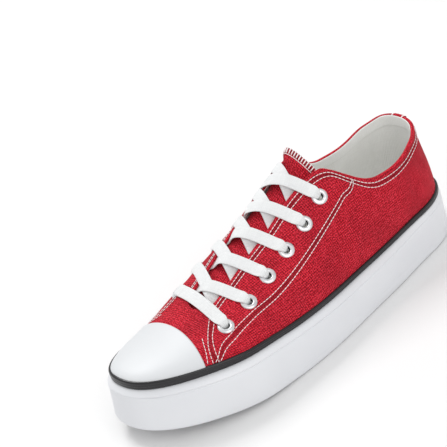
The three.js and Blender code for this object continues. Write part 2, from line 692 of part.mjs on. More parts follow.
/** Metal grommet: a rounded flange on the canvas and a barrel through it. */
function eyeletShape(station, side) {
  const seat = 2 * GAP;
  const profile = [
    [EYELET.bore, -WALL],
    [EYELET.barrel, -WALL],
    [EYELET.barrel, seat],
    [EYELET.flange, seat],
    [EYELET.flange - 0.8, seat + EYELET.lip],
    [EYELET.bore, seat + EYELET.lip],
    [EYELET.bore, -WALL],
  ].map(([radius, height]) => new THREE.Vector2(radius, height));
  const turned = new THREE.LatheGeometry(profile, EYELET.segments);
  turned.applyMatrix4(eyeletPlacement(station, side));
  return fromManifold(toManifold(turned));
}

/** Point and normal of the instep at a sideways distance from the ridge, outer side positive. */
function instepSpot(x, sideways) {
  const side = sideways >= 0 ? 1 : -1;
  const at = Math.abs(sideways) < 1e-6 ? 1 : instepPlace(x, side, Math.abs(sideways));
  return { point: instepRib(x, side, at), normal: instepNormal(x, side, at) };
}

/** Flat band over the instep between two places, at a height that the caller gives. */
function band(from, to, heightAt) {
  const steps = 8;
  const spots = [];
  for (let i = 0; i <= steps; i += 1) {
    const t = i / steps;
    const spot = instepSpot(
      THREE.MathUtils.lerp(from.x, to.x, t),
      THREE.MathUtils.lerp(from.sideways, to.sideways, t),
    );
    spot.point.addScaledVector(spot.normal, heightAt(t));
    spots.push(spot);
  }
  const corners = spots.map(({ point, normal }, i) => {
    const ahead = spots[Math.min(i + 1, steps)].point;
    const behind = spots[Math.max(i - 1, 0)].point;
    const across = ahead.clone().sub(behind).cross(normal).normalize();
    const corner = (share, height) => point.clone()
      .addScaledVector(across, (share * LACE.width) / 2)
      .addScaledVector(normal, height);
    return [corner(-1, 0), corner(1, 0), corner(1, LACE.thickness), corner(-1, LACE.thickness)];
  });
  const end = (k, inward) => patch(1, 1, (i, j) => corners[k][i ? (j ? 2 : 1) : (j ? 3 : 0)], inward);
  return weld([
    patch(steps, 4, (i, j) => corners[i][j % 4]),
    end(0, false),
    end(steps, true),
  ]);
}

const eyeletSideways = (station, side) => {
  const point = instepRib(station, side, eyeletAt(station, side));
  return point.y - ridgePoint(station).y;
};

/** Two bands that cross over the tongue, from one pair of eyelets to the next. */
function laceCrossShape(k) {
  const halves = SIDES.map(([name, side]) => {
    const low = EYELETS[k][side > 0 ? 'inner' : 'outer'];
    const high = EYELETS[k + 1][name];
    const lowSideways = eyeletSideways(low, -side);
    const highSideways = eyeletSideways(high, side);
    const share = (LACE.start * -side - lowSideways) / (highSideways - lowSideways);
    const from = { x: THREE.MathUtils.lerp(low, high, share), sideways: -side * LACE.start };
    const to = { x: high, sideways: highSideways };
    const over = side > 0 ? 0.5 : 0;
    const height = (t) => {
      const eyelet = (LACE.overEyelet - LACE.rise) * THREE.MathUtils.smoothstep(t, 0.55, 0.8);
      const crossing = over * Math.max(0, 1 - ((t - 0.35) / 0.3) ** 2);
      return LACE.rise + eyelet + crossing;
    };
    return toManifold(band(from, to, height));
  });
  return fromManifold(halves[0].add(halves[1]));
}

/** Straight bar between the first pair of eyelets. */
function laceBarShape() {
  const { outer, inner } = EYELETS[0];
  const from = { x: outer, sideways: eyeletSideways(outer, 1) };
  const to = { x: inner, sideways: eyeletSideways(inner, -1) };
  const height = (t) => LACE.overEyelet + (LACE.overLace - LACE.overEyelet) * Math.sin(Math.PI * t) ** 0.5;
  return band(from, to, height);
}

// ---------------------------------------------------------------- materials and assembly
function material(color, roughness, metalness = 0) {
  return new THREE.MeshStandardMaterial({ color, roughness, metalness });
}

const redCanvas = () => material(0xb01c2e, 0.9);
const whiteRubber = () => material(0xe4e6ec, 0.5);
const blackRubber = () => material(0x1c1b1d, 0.4);
const lightRubber = () => material(0xd9dade, 0.6);
const paleFoam = () => material(0xd6d3cb, 0.9);
const whiteCotton = () => material(0xf2f1ef, 0.9);
const steel = () => material(0xc4c5c8, 0.3, 0.9);

const pieces = [
  ['outsole', outsoleShape(), lightRubber()],
  ['foxing', foxingShape(), whiteRubber()],
  ['stripe', stripeShape(), blackRubber()],
  ['insole', insoleShape(), paleFoam()],
  ['upper', upperShape(), redCanvas()],
  ['toe_cap', toeCapShape(), whiteRubber()],
  ['heel_strip', heelStripShape(), redCanvas()],
  ['tongue', tongueShape(), redCanvas()],
  ['lace_bar', laceBarShape(), whiteCotton()],
];
for (let k = 0; k < EYELETS.length - 1; k += 1) {
  pieces.push([`lace_cross_${k + 1}`, laceCrossShape(k), whiteCotton()]);
}
EYELETS.forEach((pair, k) => {
  for (const [name, side] of SIDES) pieces.push([`eyelet_${name}_${k + 1}`, eyeletShape(pair[name], side), steel()]);
});

const group = new THREE.Group();
for (const [name, geometry, finish] of pieces) {
  const mesh = new THREE.Mesh(geometry, finish);
  mesh.name = name;
  group.add(mesh);
}

// The origin is under the middle of the shoe's box, on the floor.
const box = new THREE.Box3().setFromObject(group);
group.position.set(-(box.min.x + box.max.x) / 2, -(box.min.y + box.max.y) / 2, -box.min.z);
group.updateMatrixWorld(true);

export default group;
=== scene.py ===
# Low canvas sneaker, left shoe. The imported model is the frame; every piece here is dressed round it.
# Metres, +X from heel to toe, +Y to the outer side of the foot, +Z up.
import math
import bpy
import mathutils
import numpy as np
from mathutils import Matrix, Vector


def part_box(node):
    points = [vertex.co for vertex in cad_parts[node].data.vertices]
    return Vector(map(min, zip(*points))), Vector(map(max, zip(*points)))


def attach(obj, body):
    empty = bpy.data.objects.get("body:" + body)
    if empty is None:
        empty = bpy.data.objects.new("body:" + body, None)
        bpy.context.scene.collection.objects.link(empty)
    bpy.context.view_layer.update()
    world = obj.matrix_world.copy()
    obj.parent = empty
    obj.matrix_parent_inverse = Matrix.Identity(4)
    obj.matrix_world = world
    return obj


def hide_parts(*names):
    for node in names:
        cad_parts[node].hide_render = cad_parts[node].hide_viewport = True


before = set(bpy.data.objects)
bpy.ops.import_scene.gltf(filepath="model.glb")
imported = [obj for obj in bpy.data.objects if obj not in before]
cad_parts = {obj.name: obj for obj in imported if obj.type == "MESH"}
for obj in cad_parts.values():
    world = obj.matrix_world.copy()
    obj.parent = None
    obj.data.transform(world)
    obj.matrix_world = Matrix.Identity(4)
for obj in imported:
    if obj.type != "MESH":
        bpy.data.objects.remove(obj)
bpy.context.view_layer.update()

# ---------------------------------------------------------------- canvas upper
# Red cotton canvas lined with pale cotton, cut as vamp and quarters and lock-stitched together,
# then pulled over a last and fixed in the sole's rubber. The last comes first: ribs rise from the
# sole's feather line to the ridge of the instep, in millimetres from the back of the heel.


def table(names, *rows):
    """A short table with named columns."""
    return dict(zip(names.split(), np.array(rows, dtype=float).T))


def read(rows, column, x):
    """Smooth value of one column of a table at x."""
    place, value = rows["x"], rows[column]
    gap = np.diff(place)
    slope = np.diff(value) / gap
    middle = (gap[1:] * slope[:-1] + gap[:-1] * slope[1:]) / (gap[1:] + gap[:-1])
    tangent = np.concatenate([slope[:1], middle, slope[-1:]])
    x = np.clip(x, place[0], place[-1])
    i = np.clip(np.searchsorted(place, x, side="right") - 1, 0, len(gap) - 1)
    t = (x - place[i]) / gap[i]
    rise = t * (1 - t) ** 2 * tangent[i] + t * t * (t - 1) * tangent[i + 1]
    return (1 + 2 * t) * (1 - t) ** 2 * value[i] + t * t * (3 - 2 * t) * value[i + 1] + gap[i] * rise


def smoothstep(x, low, high):
    t = np.clip((x - low) / (high - low), 0, 1)
    return t * t * (3 - 2 * t)


SOLE_LENGTH = 268.0
COLLAR_FRONT = 91.0      # where the collar ends and the throat starts
THROAT_END = 200.0
THROAT_ROUND = 12.0
FAN_CENTRE = 228.0       # ridge point that the toe ribs run to
FEATHER_RISE = 2.8
WALL = 2.0
CENTRE_LINE = table("x y", (0, -0.4), (60, 1.3), (100, 3.5), (140, 3.3), (180, -1.8), (220, -4.6),
    (268, -12.5))
HALF_WIDTH = table(
    "x w", (0, 35.2), (35, 34.6), (70, 36.9), (100, 37.7), (140, 40.9), (175, 44.3), (200, 45.2), (230, 43),
    (268, 43.5))
TAPE_TOP = table("x z", (0, 30.3), (116, 28.6), (157, 30.5), (185, 31.6), (212, 31.2), (240, 30.0),
    (268, 27.5))
CANVAS_INSET = table("x d", (0, 2.3), (30, 3.0), (80, 5.4), (180, 5.6), (230, 6.6), (268, 7.3))
RIM = table(
    "x rim_x z outer inner",
    (0, 5.0, 79.2, 24.0, 21.0), (3, 7.0, 78.8, 24.3, 21.0), (6, 9.0, 78.3, 24.6, 21.2),
        (14, 16.5, 76.4, 26.4, 21.8),
    (24, 24.5, 74.9, 26.8, 22.2), (36, 34.8, 72.4, 27.8, 22.8), (47, 45.4, 70.3, 28.4, 23.2),
    (57, 55.5, 70.5, 28.0, 23.2), (64.5, 63.0, 72.2, 27.0, 22.4), (71.5, 70.0, 76.2, 25.0, 21.0),
    (77.2, 75.6, 82.5, 22.6, 19.6), (83.6, 81.8, 91.0, 20.0, 18.0), (87, 84.6, 94.4, 18.6, 17.3),
    (91, 88.0, 95.0, 17.0, 16.4))
RIDGE = table(
    "x y z lean throat_outer throat_inner",
    (30, -5, 132, -6, 22, 14), (60, -6.5, 118.8, -5, 22, 13), (82, -10.8, 103.3, -4, 20.5, 9.5),
    (91, -12.6, 98.8, -3, 17.4, 8.8), (110, -13.6, 89.8, -1.5, 15.2, 8.6), (140, -12.8, 76.4, 0, 14.8, 8.6),
    (160, -10.6, 69, 0, 13, 9.2), (180, -8.2, 61.9, 0, 12, 10), (200, -6.2, 55.6, 0, 11.6, 10.8),
    (216, -4.6, 52.2, 0, 11, 11), (228, -4.6, 50.6, 0, 11, 11))
RIB_SHAPE = table(
    "x rise_outer rise_inner flat_outer flat_inner bulge",
    (0, 0.38, 0.38, 0.3, 0.38, 0.5), (60, 0.4, 0.42, 0.3, 0.36, 1.6), (91, 0.42, 0.62, 0.28, 0.66, 2),
    (140, 0.38, 0.72, 0.25, 0.72, 2), (180, 0.4, 0.64, 0.3, 0.66, 1.6), (215, 0.55, 0.58, 0.55, 0.58, 0.6),
    (228, 0.6, 0.6, 0.6, 0.6, 0.3), (268, 0.62, 0.62, 0.6, 0.6, 0))


def spring(x):
    """Height of the sole's underside: flat to the ball, then rising to the toe."""
    return 12.0 * np.clip((x - 160) / (SOLE_LENGTH - 160), 0, 1) ** 1.6


def rounding(x):
    """How much of the full width is left near the rounded heel and toe."""
    toe = np.clip((x - 180) / (SOLE_LENGTH - 180), 0, 1)
    heel = np.clip((40 - x) / 40, 0, 1)
    return (1 - toe ** 2.3) ** (1 / 2.3) * (1 - heel ** 2.4) ** (1 / 2.4)


def to_angle(x):
    return np.arccos(np.clip(1 - 2 * x / SOLE_LENGTH, -1, 1))


def to_station(angle):
    return SOLE_LENGTH / 2 * (1 - np.cos(angle))


def outline(angle, side):
    x = to_station(angle)
    return x, read(CENTRE_LINE, "y", x) + side * read(HALF_WIDTH, "w", x) * rounding(x)


def inward(x, side):
    """Unit vector square to the outline, pointing into the shoe."""
    angle = to_angle(x)
    ahead = outline(np.minimum(angle + 2e-3, np.pi), side)
    behind = outline(np.maximum(angle - 2e-3, 0), side)
    along = np.stack([ahead[0] - behind[0], ahead[1] - behind[1]])
    along = along / np.maximum(np.hypot(*along), 1e-9)
    nx, ny = side * along[1], -side * along[0]
    nx, ny = np.where(angle < 1e-4, 1.0, nx), np.where(angle < 1e-4, 0.0, ny)
    nx, ny = np.where(angle > np.pi - 1e-4, -1.0, nx), np.where(angle > np.pi - 1e-4, 0.0, ny)
    return np.stack([nx, ny, 0 * nx], -1)


def edge_point(x, side, inset, height):
    """The sole's outline at a station, moved inward, at a height above the underside."""
    px, py = outline(to_angle(x), side)
    flat = np.stack([px, py, spring(x) + height + 0 * px], -1)
    return flat + inward(x, side) * (np.asarray(inset) + 0 * px)[..., None]


def rib_foot(x, side):
    return edge_point(x, side, read(CANVAS_INSET, "d", x), read(TAPE_TOP, "z", x) + FEATHER_RISE)


def ridge_point(x):
    return np.stack([x + read(RIDGE, "lean", x), read(RIDGE, "y", x), read(RIDGE, "z", x)], -1)


FAN_SLOPE = (ridge_point(np.array(FAN_CENTRE)) - ridge_point(np.array(FAN_CENTRE - 1.0)))[2]


def bezier(a, b, c, d, t):
    t = t[..., None]
    return (1 - t) ** 3 * a + 3 * t * (1 - t) ** 2 * b + 3 * t * t * (1 - t) * c + t ** 3 * d


def by_side(rows, name, x, side):
    return np.where(side > 0, read(rows, name + "_outer", x), read(rows, name + "_inner", x))


def spread(*values):
    return np.broadcast_arrays(*[np.asarray(value, float) for value in values])


def instep_rib(x, side, at):
    """Rib from the sole to the ridge ahead of the collar: at is 0 at the sole, 1 on the ridge."""
    x, side, at = spread(x, side, at)
    foot, top = rib_foot(x, side), ridge_point(np.minimum(x, FAN_CENTRE))
    run = foot[..., :2] - top[..., :2]
    reach = np.hypot(run[..., 0], run[..., 1])
    flat = by_side(RIB_SHAPE, "flat", x, side) * reach
    lower = foot - inward(x, side) * read(RIB_SHAPE, "bulge", x)[..., None]
    lower[..., 2] += by_side(RIB_SHAPE, "rise", x, side) * (top[..., 2] - foot[..., 2])
    fan = np.stack([run[..., 0] / reach, run[..., 1] / reach, FAN_SLOPE * run[..., 0] / reach], -1)
    across = np.stack([0 * x, side, 0 * x], -1)
    turned = smoothstep(x, FAN_CENTRE - 12, FAN_CENTRE)[..., None]
    arrival = across * (1 - turned) + fan * turned
    return bezier(foot, lower, top + arrival * flat[..., None], top, at)


def halving(test, low, shape):
    """Where a test on 0..1 turns false, for every entry of an array."""
    low, high = np.full(shape, float(low)), np.ones(shape)
    for _ in range(32):
        middle = (low + high) / 2
        yes = test(middle)
        low, high = np.where(yes, middle, low), np.where(yes, high, middle)
    return high


def place_sideways(x, side, sideways):
    """Place on an instep rib that lies a given distance sideways from the ridge."""
    x, side, sideways = spread(x, side, sideways)
    ridge = ridge_point(x)[..., 1]
    return halving(lambda at: side * (instep_rib(x, side, at)[..., 1] - ridge) > sideways, 0.2, x.shape)


def find_edge(x, side):
    """Place on each rib where the collar's rim or the throat cuts it off; 1 where the vamp is closed."""
    ahead = np.clip((x - THROAT_END + THROAT_ROUND) / THROAT_ROUND, 0, 1)
    throat = place_sideways(x, side, by_side(RIDGE, "throat", x, side) * np.sqrt(1 - ahead ** 2))
    corner = instep_rib(COLLAR_FRONT, side, np.interp(COLLAR_FRONT, x, throat))[..., 2]
    height = read(RIM, "z", x) + smoothstep(x, 70, COLLAR_FRONT) * (corner - RIM["z"][-1])
    rim = halving(lambda at: instep_rib(x, side, at)[..., 2] < height, 0, x.shape)
    return np.where(x < COLLAR_FRONT, rim, np.where(x >= THROAT_END - 1e-6, 1.0, throat))


EDGE_STATIONS = np.unique(np.concatenate([np.linspace(0, 268, 1073), np.linspace(187, 200, 521)]))
EDGES = {side: find_edge(EDGE_STATIONS, side) for side in (1.0, -1.0)}


def edge_at(x, side):
    x, side = spread(x, side)
    outer, inner = (np.interp(x, EDGE_STATIONS, EDGES[key]) for key in (1.0, -1.0))
    return np.where(side > 0, outer, inner)


def heel_rib(x, side, at):
    foot, way = rib_foot(x, side), inward(x, side)
    half = np.where(side > 0, read(RIM, "outer", x), read(RIM, "inner", x)) * rounding(x)
    rim = np.stack([read(RIM, "rim_x", x), read(CENTRE_LINE, "y", x) + side * half, read(RIM, "z", x)], -1)
    height = (rim - foot)[..., 2]
    bulge = read(RIB_SHAPE, "bulge", x)[..., None]
    lower, upper = foot - way * bulge, rim - way * bulge / 2
    lower[..., 2] += 0.38 * height
    upper[..., 2] -= 0.33 * height
    return bezier(foot, lower, upper, rim, at)


def face_point(x, side, at):
    """Point of the upper's outer face: at is 0 at the sole and 1 at the upper's own edge."""
    x, side, at = spread(x, side, at)
    blend = smoothstep(x, 34, 58)[..., None]
    collar = x < COLLAR_FRONT
    front = instep_rib(x, side, at * edge_at(x, side))
    back = heel_rib(np.minimum(x, COLLAR_FRONT), side, at)
    return np.where(collar[..., None], back * (1 - blend) + front * blend, front)


def normal_of(point, x, side, at):
    """Outward normal of a surface given by station, side and place on the rib."""
    x, side, at = spread(x, side, at)
    angle = to_angle(x)
    upward = point(x, side, np.minimum(at + 1e-3, 1)) - point(x, side, np.maximum(at - 1e-3, 0))
    ahead, behind = to_station(np.minimum(angle + 1e-3, np.pi)), to_station(np.maximum(angle - 1e-3, 0))
    along = point(ahead, side, at) - point(behind, side, at)
    end = np.stack([0 * x, side, 0 * x], -1)
    along = np.where((angle < 1e-4)[..., None], end, along)
    along = np.where((angle > np.pi - 1e-4)[..., None], -end, along)
    cross = np.cross(along, upward) * -side[..., None]
    return cross / np.maximum(np.linalg.norm(cross, axis=-1), 1e-9)[..., None]


def instep_normal(x, side, at):
    x, side, at = spread(x, side, at)
    body = normal_of(instep_rib, x, side, np.minimum(at, 0.9995))
    top = np.minimum(x, FAN_CENTRE)
    ridge = np.cross(ridge_point(top + 0.5) - ridge_point(top - 0.5), np.array([0.0, 1.0, 0.0]))
    ridge = np.where((x >= FAN_CENTRE)[..., None], np.array([-FAN_SLOPE, 0, 1]), ridge)
    ridge = ridge / np.linalg.norm(ridge, axis=-1)[..., None]
    return np.where((at > 0.9995)[..., None], ridge, body)


def face_normal(x, side, at):
    x, side, at = spread(x, side, at)
    closed = (x >= THROAT_END - 1e-6) & (at > 0.9995)
    return np.where(closed[..., None], instep_normal(x, side, at), normal_of(face_point, x, side, at))


def even_stations(low, high, steps):
    """Stations that share one side's length evenly, both ends included."""
    angle = np.linspace(*to_angle(np.array([low, high], float)), 1200)
    line = np.stack(outline(angle, 1.0), -1)
    run = np.concatenate([[0], np.cumsum(np.linalg.norm(np.diff(line, axis=0), axis=1))])
    return to_station(np.interp(np.linspace(0, run[-1], steps + 1), run, angle))


low_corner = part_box("foxing")[0]
loop_angle = np.linspace(0, np.pi, 2000)
ROW_SHIFT = np.array([1000 * low_corner[0], 1000 * low_corner[1] - outline(loop_angle, -1.0)[1].min(), 0.0])


def to_row(points):
    """Millimetres from the heel to metres in the row's frame."""
    return (np.asarray(points, float) + ROW_SHIFT) / 1000


def grid(name, points, uv, finish):
    """A primitive grid whose corners go to a table of points; uv is in millimetres."""
    across, up = points.shape[0] - 1, points.shape[1] - 1
    bpy.ops.object.select_all(action="DESELECT")
    bpy.ops.mesh.primitive_grid_add(x_subdivisions=across, y_subdivisions=up, size=2)
    piece = bpy.context.object
    piece.name = piece.data.name = name
    mesh = piece.data
    flat = np.empty(len(mesh.vertices) * 3)
    mesh.vertices.foreach_get("co", flat)
    flat = flat.reshape(-1, 3)
    i = np.rint((flat[:, 0] + 1) / 2 * across).astype(int)
    j = np.rint((flat[:, 1] + 1) / 2 * up).astype(int)
    mesh.vertices.foreach_set("co", to_row(points[i, j]).ravel())
    corner = np.empty(len(mesh.loops), dtype=int)
    mesh.loops.foreach_get("vertex_index", corner)
    mesh.uv_layers[0].data.foreach_set("uv", (uv[i, j][corner] / 10).ravel())
    mesh.uv_layers[0].name = "cloth"
    mesh.materials.append(finish)
    mesh.update()
    return piece


def face_outward(mesh):
    """Turns the faces of a closed shell that came out facing inward, by the sign of its volume."""
    mesh.calc_loop_triangles()
    corners = np.empty(len(mesh.loop_triangles) * 3, dtype=int)
    mesh.loop_triangles.foreach_get("vertices", corners)
    places = np.empty(len(mesh.vertices) * 3)
    mesh.vertices.foreach_get("co", places)
    a, b, c = places.reshape(-1, 3)[corners.reshape(-1, 3)].transpose(1, 0, 2)
    if np.sum(a * np.cross(b, c)) < 0:
        mesh.flip_normals()


def welded(name, patches, angle=50):
    """Joins patches along their shared edges, faces them outward and smooths them."""
    bpy.ops.object.select_all(action="DESELECT")
    for piece in patches:
        piece.select_set(True)
    bpy.context.view_layer.objects.active = patches[0]
    if len(patches) > 1:
        bpy.ops.object.join()
    bpy.ops.object.mode_set(mode="EDIT")
    bpy.ops.mesh.select_all(action="SELECT")
    bpy.ops.mesh.remove_doubles(threshold=2e-6)
    bpy.ops.mesh.normals_make_consistent(inside=False)
    bpy.ops.object.mode_set(mode="OBJECT")
    piece = bpy.context.object
    face_outward(piece.data)
    bpy.ops.object.shade_smooth_by_angle(angle=math.radians(angle))
    piece.name = piece.data.name = name
    return piece


def settle(piece, slot, *nodes):
    """Fixes a finished piece to the shoe and hides the plain solids that it stands for; the finish it is
    given is not used.
    """
    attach(piece, "root")
    if nodes:
        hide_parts(*nodes)
    return piece


def lengths(points):
    """Running length along both directions of a table of points."""
    along = np.linalg.norm(np.diff(points, axis=0), axis=-1)
    upward = np.linalg.norm(np.diff(points, axis=1), axis=-1)
    u = np.concatenate([[0], np.cumsum(along[:, points.shape[1] // 2])])
    v = np.concatenate([np.zeros((len(points), 1)), np.cumsum(upward, axis=1)], axis=1)
    return np.stack([u[:, None] + 0 * v, v], -1)


def nodes_of(name):
    """A new material with an empty node tree, its output and its shader."""
    finish = bpy.data.materials.new(name)
    finish.use_nodes = True
    tree = finish.node_tree
    tree.nodes.clear()
    out = tree.nodes.new("ShaderNodeOutputMaterial")
    skin = tree.nodes.new("ShaderNodeBsdfPrincipled")
    tree.links.new(skin.outputs["BSDF"], out.inputs["Surface"])
    return finish, tree, skin


def add(tree, kind, settings=None, **inputs):
    """A node with its settings and inputs; an input is a value or another node's output."""
    made = tree.nodes.new("ShaderNode" + kind)
    for key, value in (settings or {}).items():
        setattr(made, key, value)
    for key, value in inputs.items():
        socket = made.inputs[int(key[1:])] if key[0] == "i" and key[1:].isdigit() else made.inputs[key.replace("_", " ")]
        if isinstance(value, bpy.types.NodeSocket):
            tree.links.new(value, socket)
        else:
            socket.default_value = value
    return made


def maths(tree, operation, a, b=0.5, c=0.5):
    return add(tree, "Math", {"operation": operation}, i0=a, i1=b, i2=c).outputs[0]


def blend(tree, share, a, b):
    """Colour between a and b."""
    mixed = add(tree, "Mix", {"data_type": "RGBA"}, i0=share, i6=a, i7=b)
    return mixed.outputs[2]


def ramp(tree, value, low, high):
    """0 below low, 1 above high."""
    return add(tree, "MapRange", {"interpolation_type": "SMOOTHSTEP"}, Value=value, From_Min=low,
        From_Max=high).outputs[0]

# One shell of red plain-weave cotton canvas over a pale cotton lining, cut as quarters, eyestays and
# a vamp, and sewn with pairs of white lock-stitch rows. The collar and the throat have folded edges.
STITCH = {"pitch": 2.5, "length": 2.35, "width": 0.50, "height": 0.42}      # millimetres
ROW_INSET = (2.3, 5.3)                     # the two rows of stitching along the collar
THROAT_INSET = (1.6, 4.0)                  # and along the throat, measured sideways
STEEP_SIDE = 0.55                          # the inner ribs fall more steeply, so less of it is sideways
EYESTAY_SEAM = table(
    "x z", (73.0, 82.0), (75.5, 77.2), (87.5, 70.7), (98.5, 66.0), (112.0, 61.1), (130.0, 55.6),
        (148.0, 51.5),
    (162.5, 49.1), (182.5, 47.6), (200.0, 45.8), (213.5, 43.3), (221.0, 39.4))
FRONT_SEAM = table(
    "z ahead behind", (54.0, 199.5, 196.8), (52.5, 204.3, 201.2), (51.0, 208.9, 205.8), (49.5, 213.0, 210.2),
    (48.0, 216.5, 213.3), (45.0, 220.9, 217.3), (41.0, 223.4, 219.6), (38.4, 224.6, 220.8))
FRONT_ROW = table("z x", (50.2, 214.5), (48.5, 218.0), (46.4, 221.5), (44.0, 224.5), (40.0, 227.0))
INNER_SHIFT = -5.0                         # the forefoot turns, so the inner seams lie nearer the heel
FOLD = 0.45                                # step where one layer of canvas lies over another
SIDES = (("outer", 1.0), ("inner", -1.0))


def at_height(x, side, z):
    """Place on an instep rib at a height above the floor."""
    x, side, z = spread(x, side, z)
    return halving(lambda at: instep_rib(x, side, at)[..., 2] < z, 0, x.shape)


def rib_length(x, side):
    at = np.linspace(0, 1, 25)
    points = face_point(np.asarray(x, float)[:, None], side, at)
    return np.linalg.norm(np.diff(points, axis=1), axis=-1).sum(axis=1)


def spline(points, normals, step):
    """A smooth line through points, cut at an even step, with a unit normal at each place."""
    points, normals = np.asarray(points), np.asarray(normals)
    run = np.concatenate([[0], np.cumsum(np.linalg.norm(np.diff(points, axis=0), axis=1))])
    count = max(int(run[-1] / step), 2)
    place = np.linspace(0, run[-1], count)
    rows = {"x": run}
    for name, values in (("p", points), ("n", normals)):
        for axis in range(3):
            rows[name + str(axis)] = values[:, axis]
    line = np.stack([read(rows, "p" + str(axis), place) for axis in range(3)], -1)
    way = np.stack([read(rows, "n" + str(axis), place) for axis in range(3)], -1)
    return line, way / np.linalg.norm(way, axis=1)[:, None]


def eyestay_line(side, raised):
    shift = 0 if side > 0 else INNER_SHIFT / 2
    x = np.linspace(75.5, 221.0, 60)
    z = read(EYESTAY_SEAM, "z", x) + raised * smoothstep(x, 74, 78)
    at = np.minimum(at_height(x + shift, side, z), edge_at(x + shift, side))
    return instep_rib(x + shift, side, at), instep_normal(x + shift, side, at)


def edge_line(side, inset, throat_inset, seam_side):
    """A row from the back of the heel along collar and throat, then down ahead of the first eyelet."""
    x = np.concatenate([even_stations(0, 40, 14), np.linspace(43, 85, 14)])
    at = 1 - inset / rib_length(x, side)
    points, normals = face_point(x, side, at), face_normal(x, side, at)
    x = np.linspace(99, 188, 24)
    reach = by_side(RIDGE, "throat", x, side) + throat_inset * (1 if side > 0 else STEEP_SIDE)
    at = place_sideways(x, side, reach)
    points = np.concatenate([points, instep_rib(x, side, at)])
    normals = np.concatenate([normals, instep_normal(x, side, at)])
    shift = 0 if side > 0 else INNER_SHIFT
    x = FRONT_SEAM[seam_side] + shift
    at = at_height(x, side, FRONT_SEAM["z"])
    points = np.concatenate([points, instep_rib(x, side, at)])
    return points, np.concatenate([normals, instep_normal(x, side, at)])


stitch_rows = []
seam_middles = []
for label, side in SIDES:
    pair = [edge_line(side, ROW_INSET[0], THROAT_INSET[0], "ahead"),
            edge_line(side, ROW_INSET[1], THROAT_INSET[1], "behind")]
    pair = [spline(*row, 0.5) for row in pair]
    stitch_rows += pair
    share = np.linspace(0, 1, 900)
    ends = [np.stack([np.interp(share * (len(row[0]) - 1), np.arange(len(row[0])),
        row[0][:, k]) for k in range(3)], -1)
            for row in pair]
    seam_middles.append((ends[0] + ends[1]) / 2)
    pair = [spline(*eyestay_line(side, raised), 0.5) for raised in (0.0, 2.1)]
    stitch_rows += pair
    seam_middles.append((pair[0][0][:len(pair[1][0])] + pair[1][0][:len(pair[0][0])]) / 2)
    shift = 0 if side > 0 else INNER_SHIFT
    at = at_height(FRONT_ROW["x"] + shift, side, FRONT_ROW["z"])
    x = FRONT_ROW["x"] + shift
    stitch_rows.append(spline(instep_rib(x, side, at), instep_normal(x, side, at), 0.5))

# Soft creases of the cloth: where each lies, how it runs, and how long, wide and deep it is.
CREASES = table(
    "x side at turn length width depth",
    (206, 1, 0.72, 75, 11, 2.2, 0.45), (196, 1, 0.42, 60, 14, 2.6, 0.45), (206, -1, 0.60, 100, 12, 2.6, 0.5),
    (176, 1, 0.28, 35, 18, 3.0, 0.40), (150, 1, 0.22, 20, 22, 3.4, 0.35), (118, 1, 0.30, 10, 24, 3.8, 0.45),
    (88, 1, 0.42, 60, 12, 3.0, 0.45), (64, 1, 0.52, 20, 18, 3.2, 0.50), (36, 1, 0.45, 80, 13, 3.4, 0.50),
    (22, 1, 0.65, 100, 9, 2.6, 0.40), (20, -1, 0.55, 80, 12, 3.0, 0.5), (70, -1, 0.45, 30, 16, 3.2, 0.5),
    (120, -1, 0.35, 15, 22, 3.6, 0.45), (165, -1, 0.30, 35, 18, 3.0, 0.45))


def creased(points, x_axis, normals):
    """How far the creases move each point along its normal."""
    moved = np.zeros(points.shape[:-1])
    for row in range(len(CREASES["x"])):
        x, side, at, turn, length, width, depth = (CREASES[key][row] for key in
                                                    ("x", "side", "at", "turn", "length", "width", "depth"))
        centre = face_point(x, side, at)
        normal = face_normal(x, side, at)
        along = face_point(x + 1, side, at) - face_point(x - 1, side, at)
        along = along / np.linalg.norm(along)
        upward = np.cross(normal, along)
        way = math.cos(math.radians(turn)) * along + math.sin(math.radians(turn)) * upward
        across = np.cross(normal, way)
        away = points - centre
        run, off = away @ way, away @ across
        near = np.exp(-(run / length) ** 2 - ((away @ normal) / 14) ** 2)
        moved += near * (-depth * np.exp(-(off / width) ** 2) + 0.5 * depth * np.exp(-((off - 1.9 * width) / width) ** 2))
    return moved


def line_field(points, lines, reach):
    """1 on the lines, falling to 0 about a reach away from them."""
    spots = np.concatenate(lines)
    tree = mathutils.kdtree.KDTree(len(spots))
    for k, spot in enumerate(spots):
        tree.insert(spot, k)
    tree.balance()
    flat = points.reshape(-1, 3)
    off = np.array([tree.find(point)[2] for point in flat]).reshape(points.shape[:-1])
    return np.exp(-(off / reach) ** 2)


def layered(points, x):
    """Height of the extra layer of canvas: the eyestay lies over the quarter and over the vamp."""
    side_shift = np.where(points[..., 1] > ridge_point(x)[..., 1], 0, INNER_SHIFT)
    over_quarter = smoothstep(points[..., 2] - read(EYESTAY_SEAM, "z", x - side_shift / 2), -1.7, -0.9)
    edge = np.interp(points[..., 2], FRONT_SEAM["z"][::-1], FRONT_SEAM["ahead"][::-1]) + 1.3 + side_shift
    behind_vamp = 1 - smoothstep(points[..., 0] - edge, -0.4, 0.4)
    return FOLD * behind_vamp * (0.45 + 0.55 * over_quarter * smoothstep(x, 74, 77))


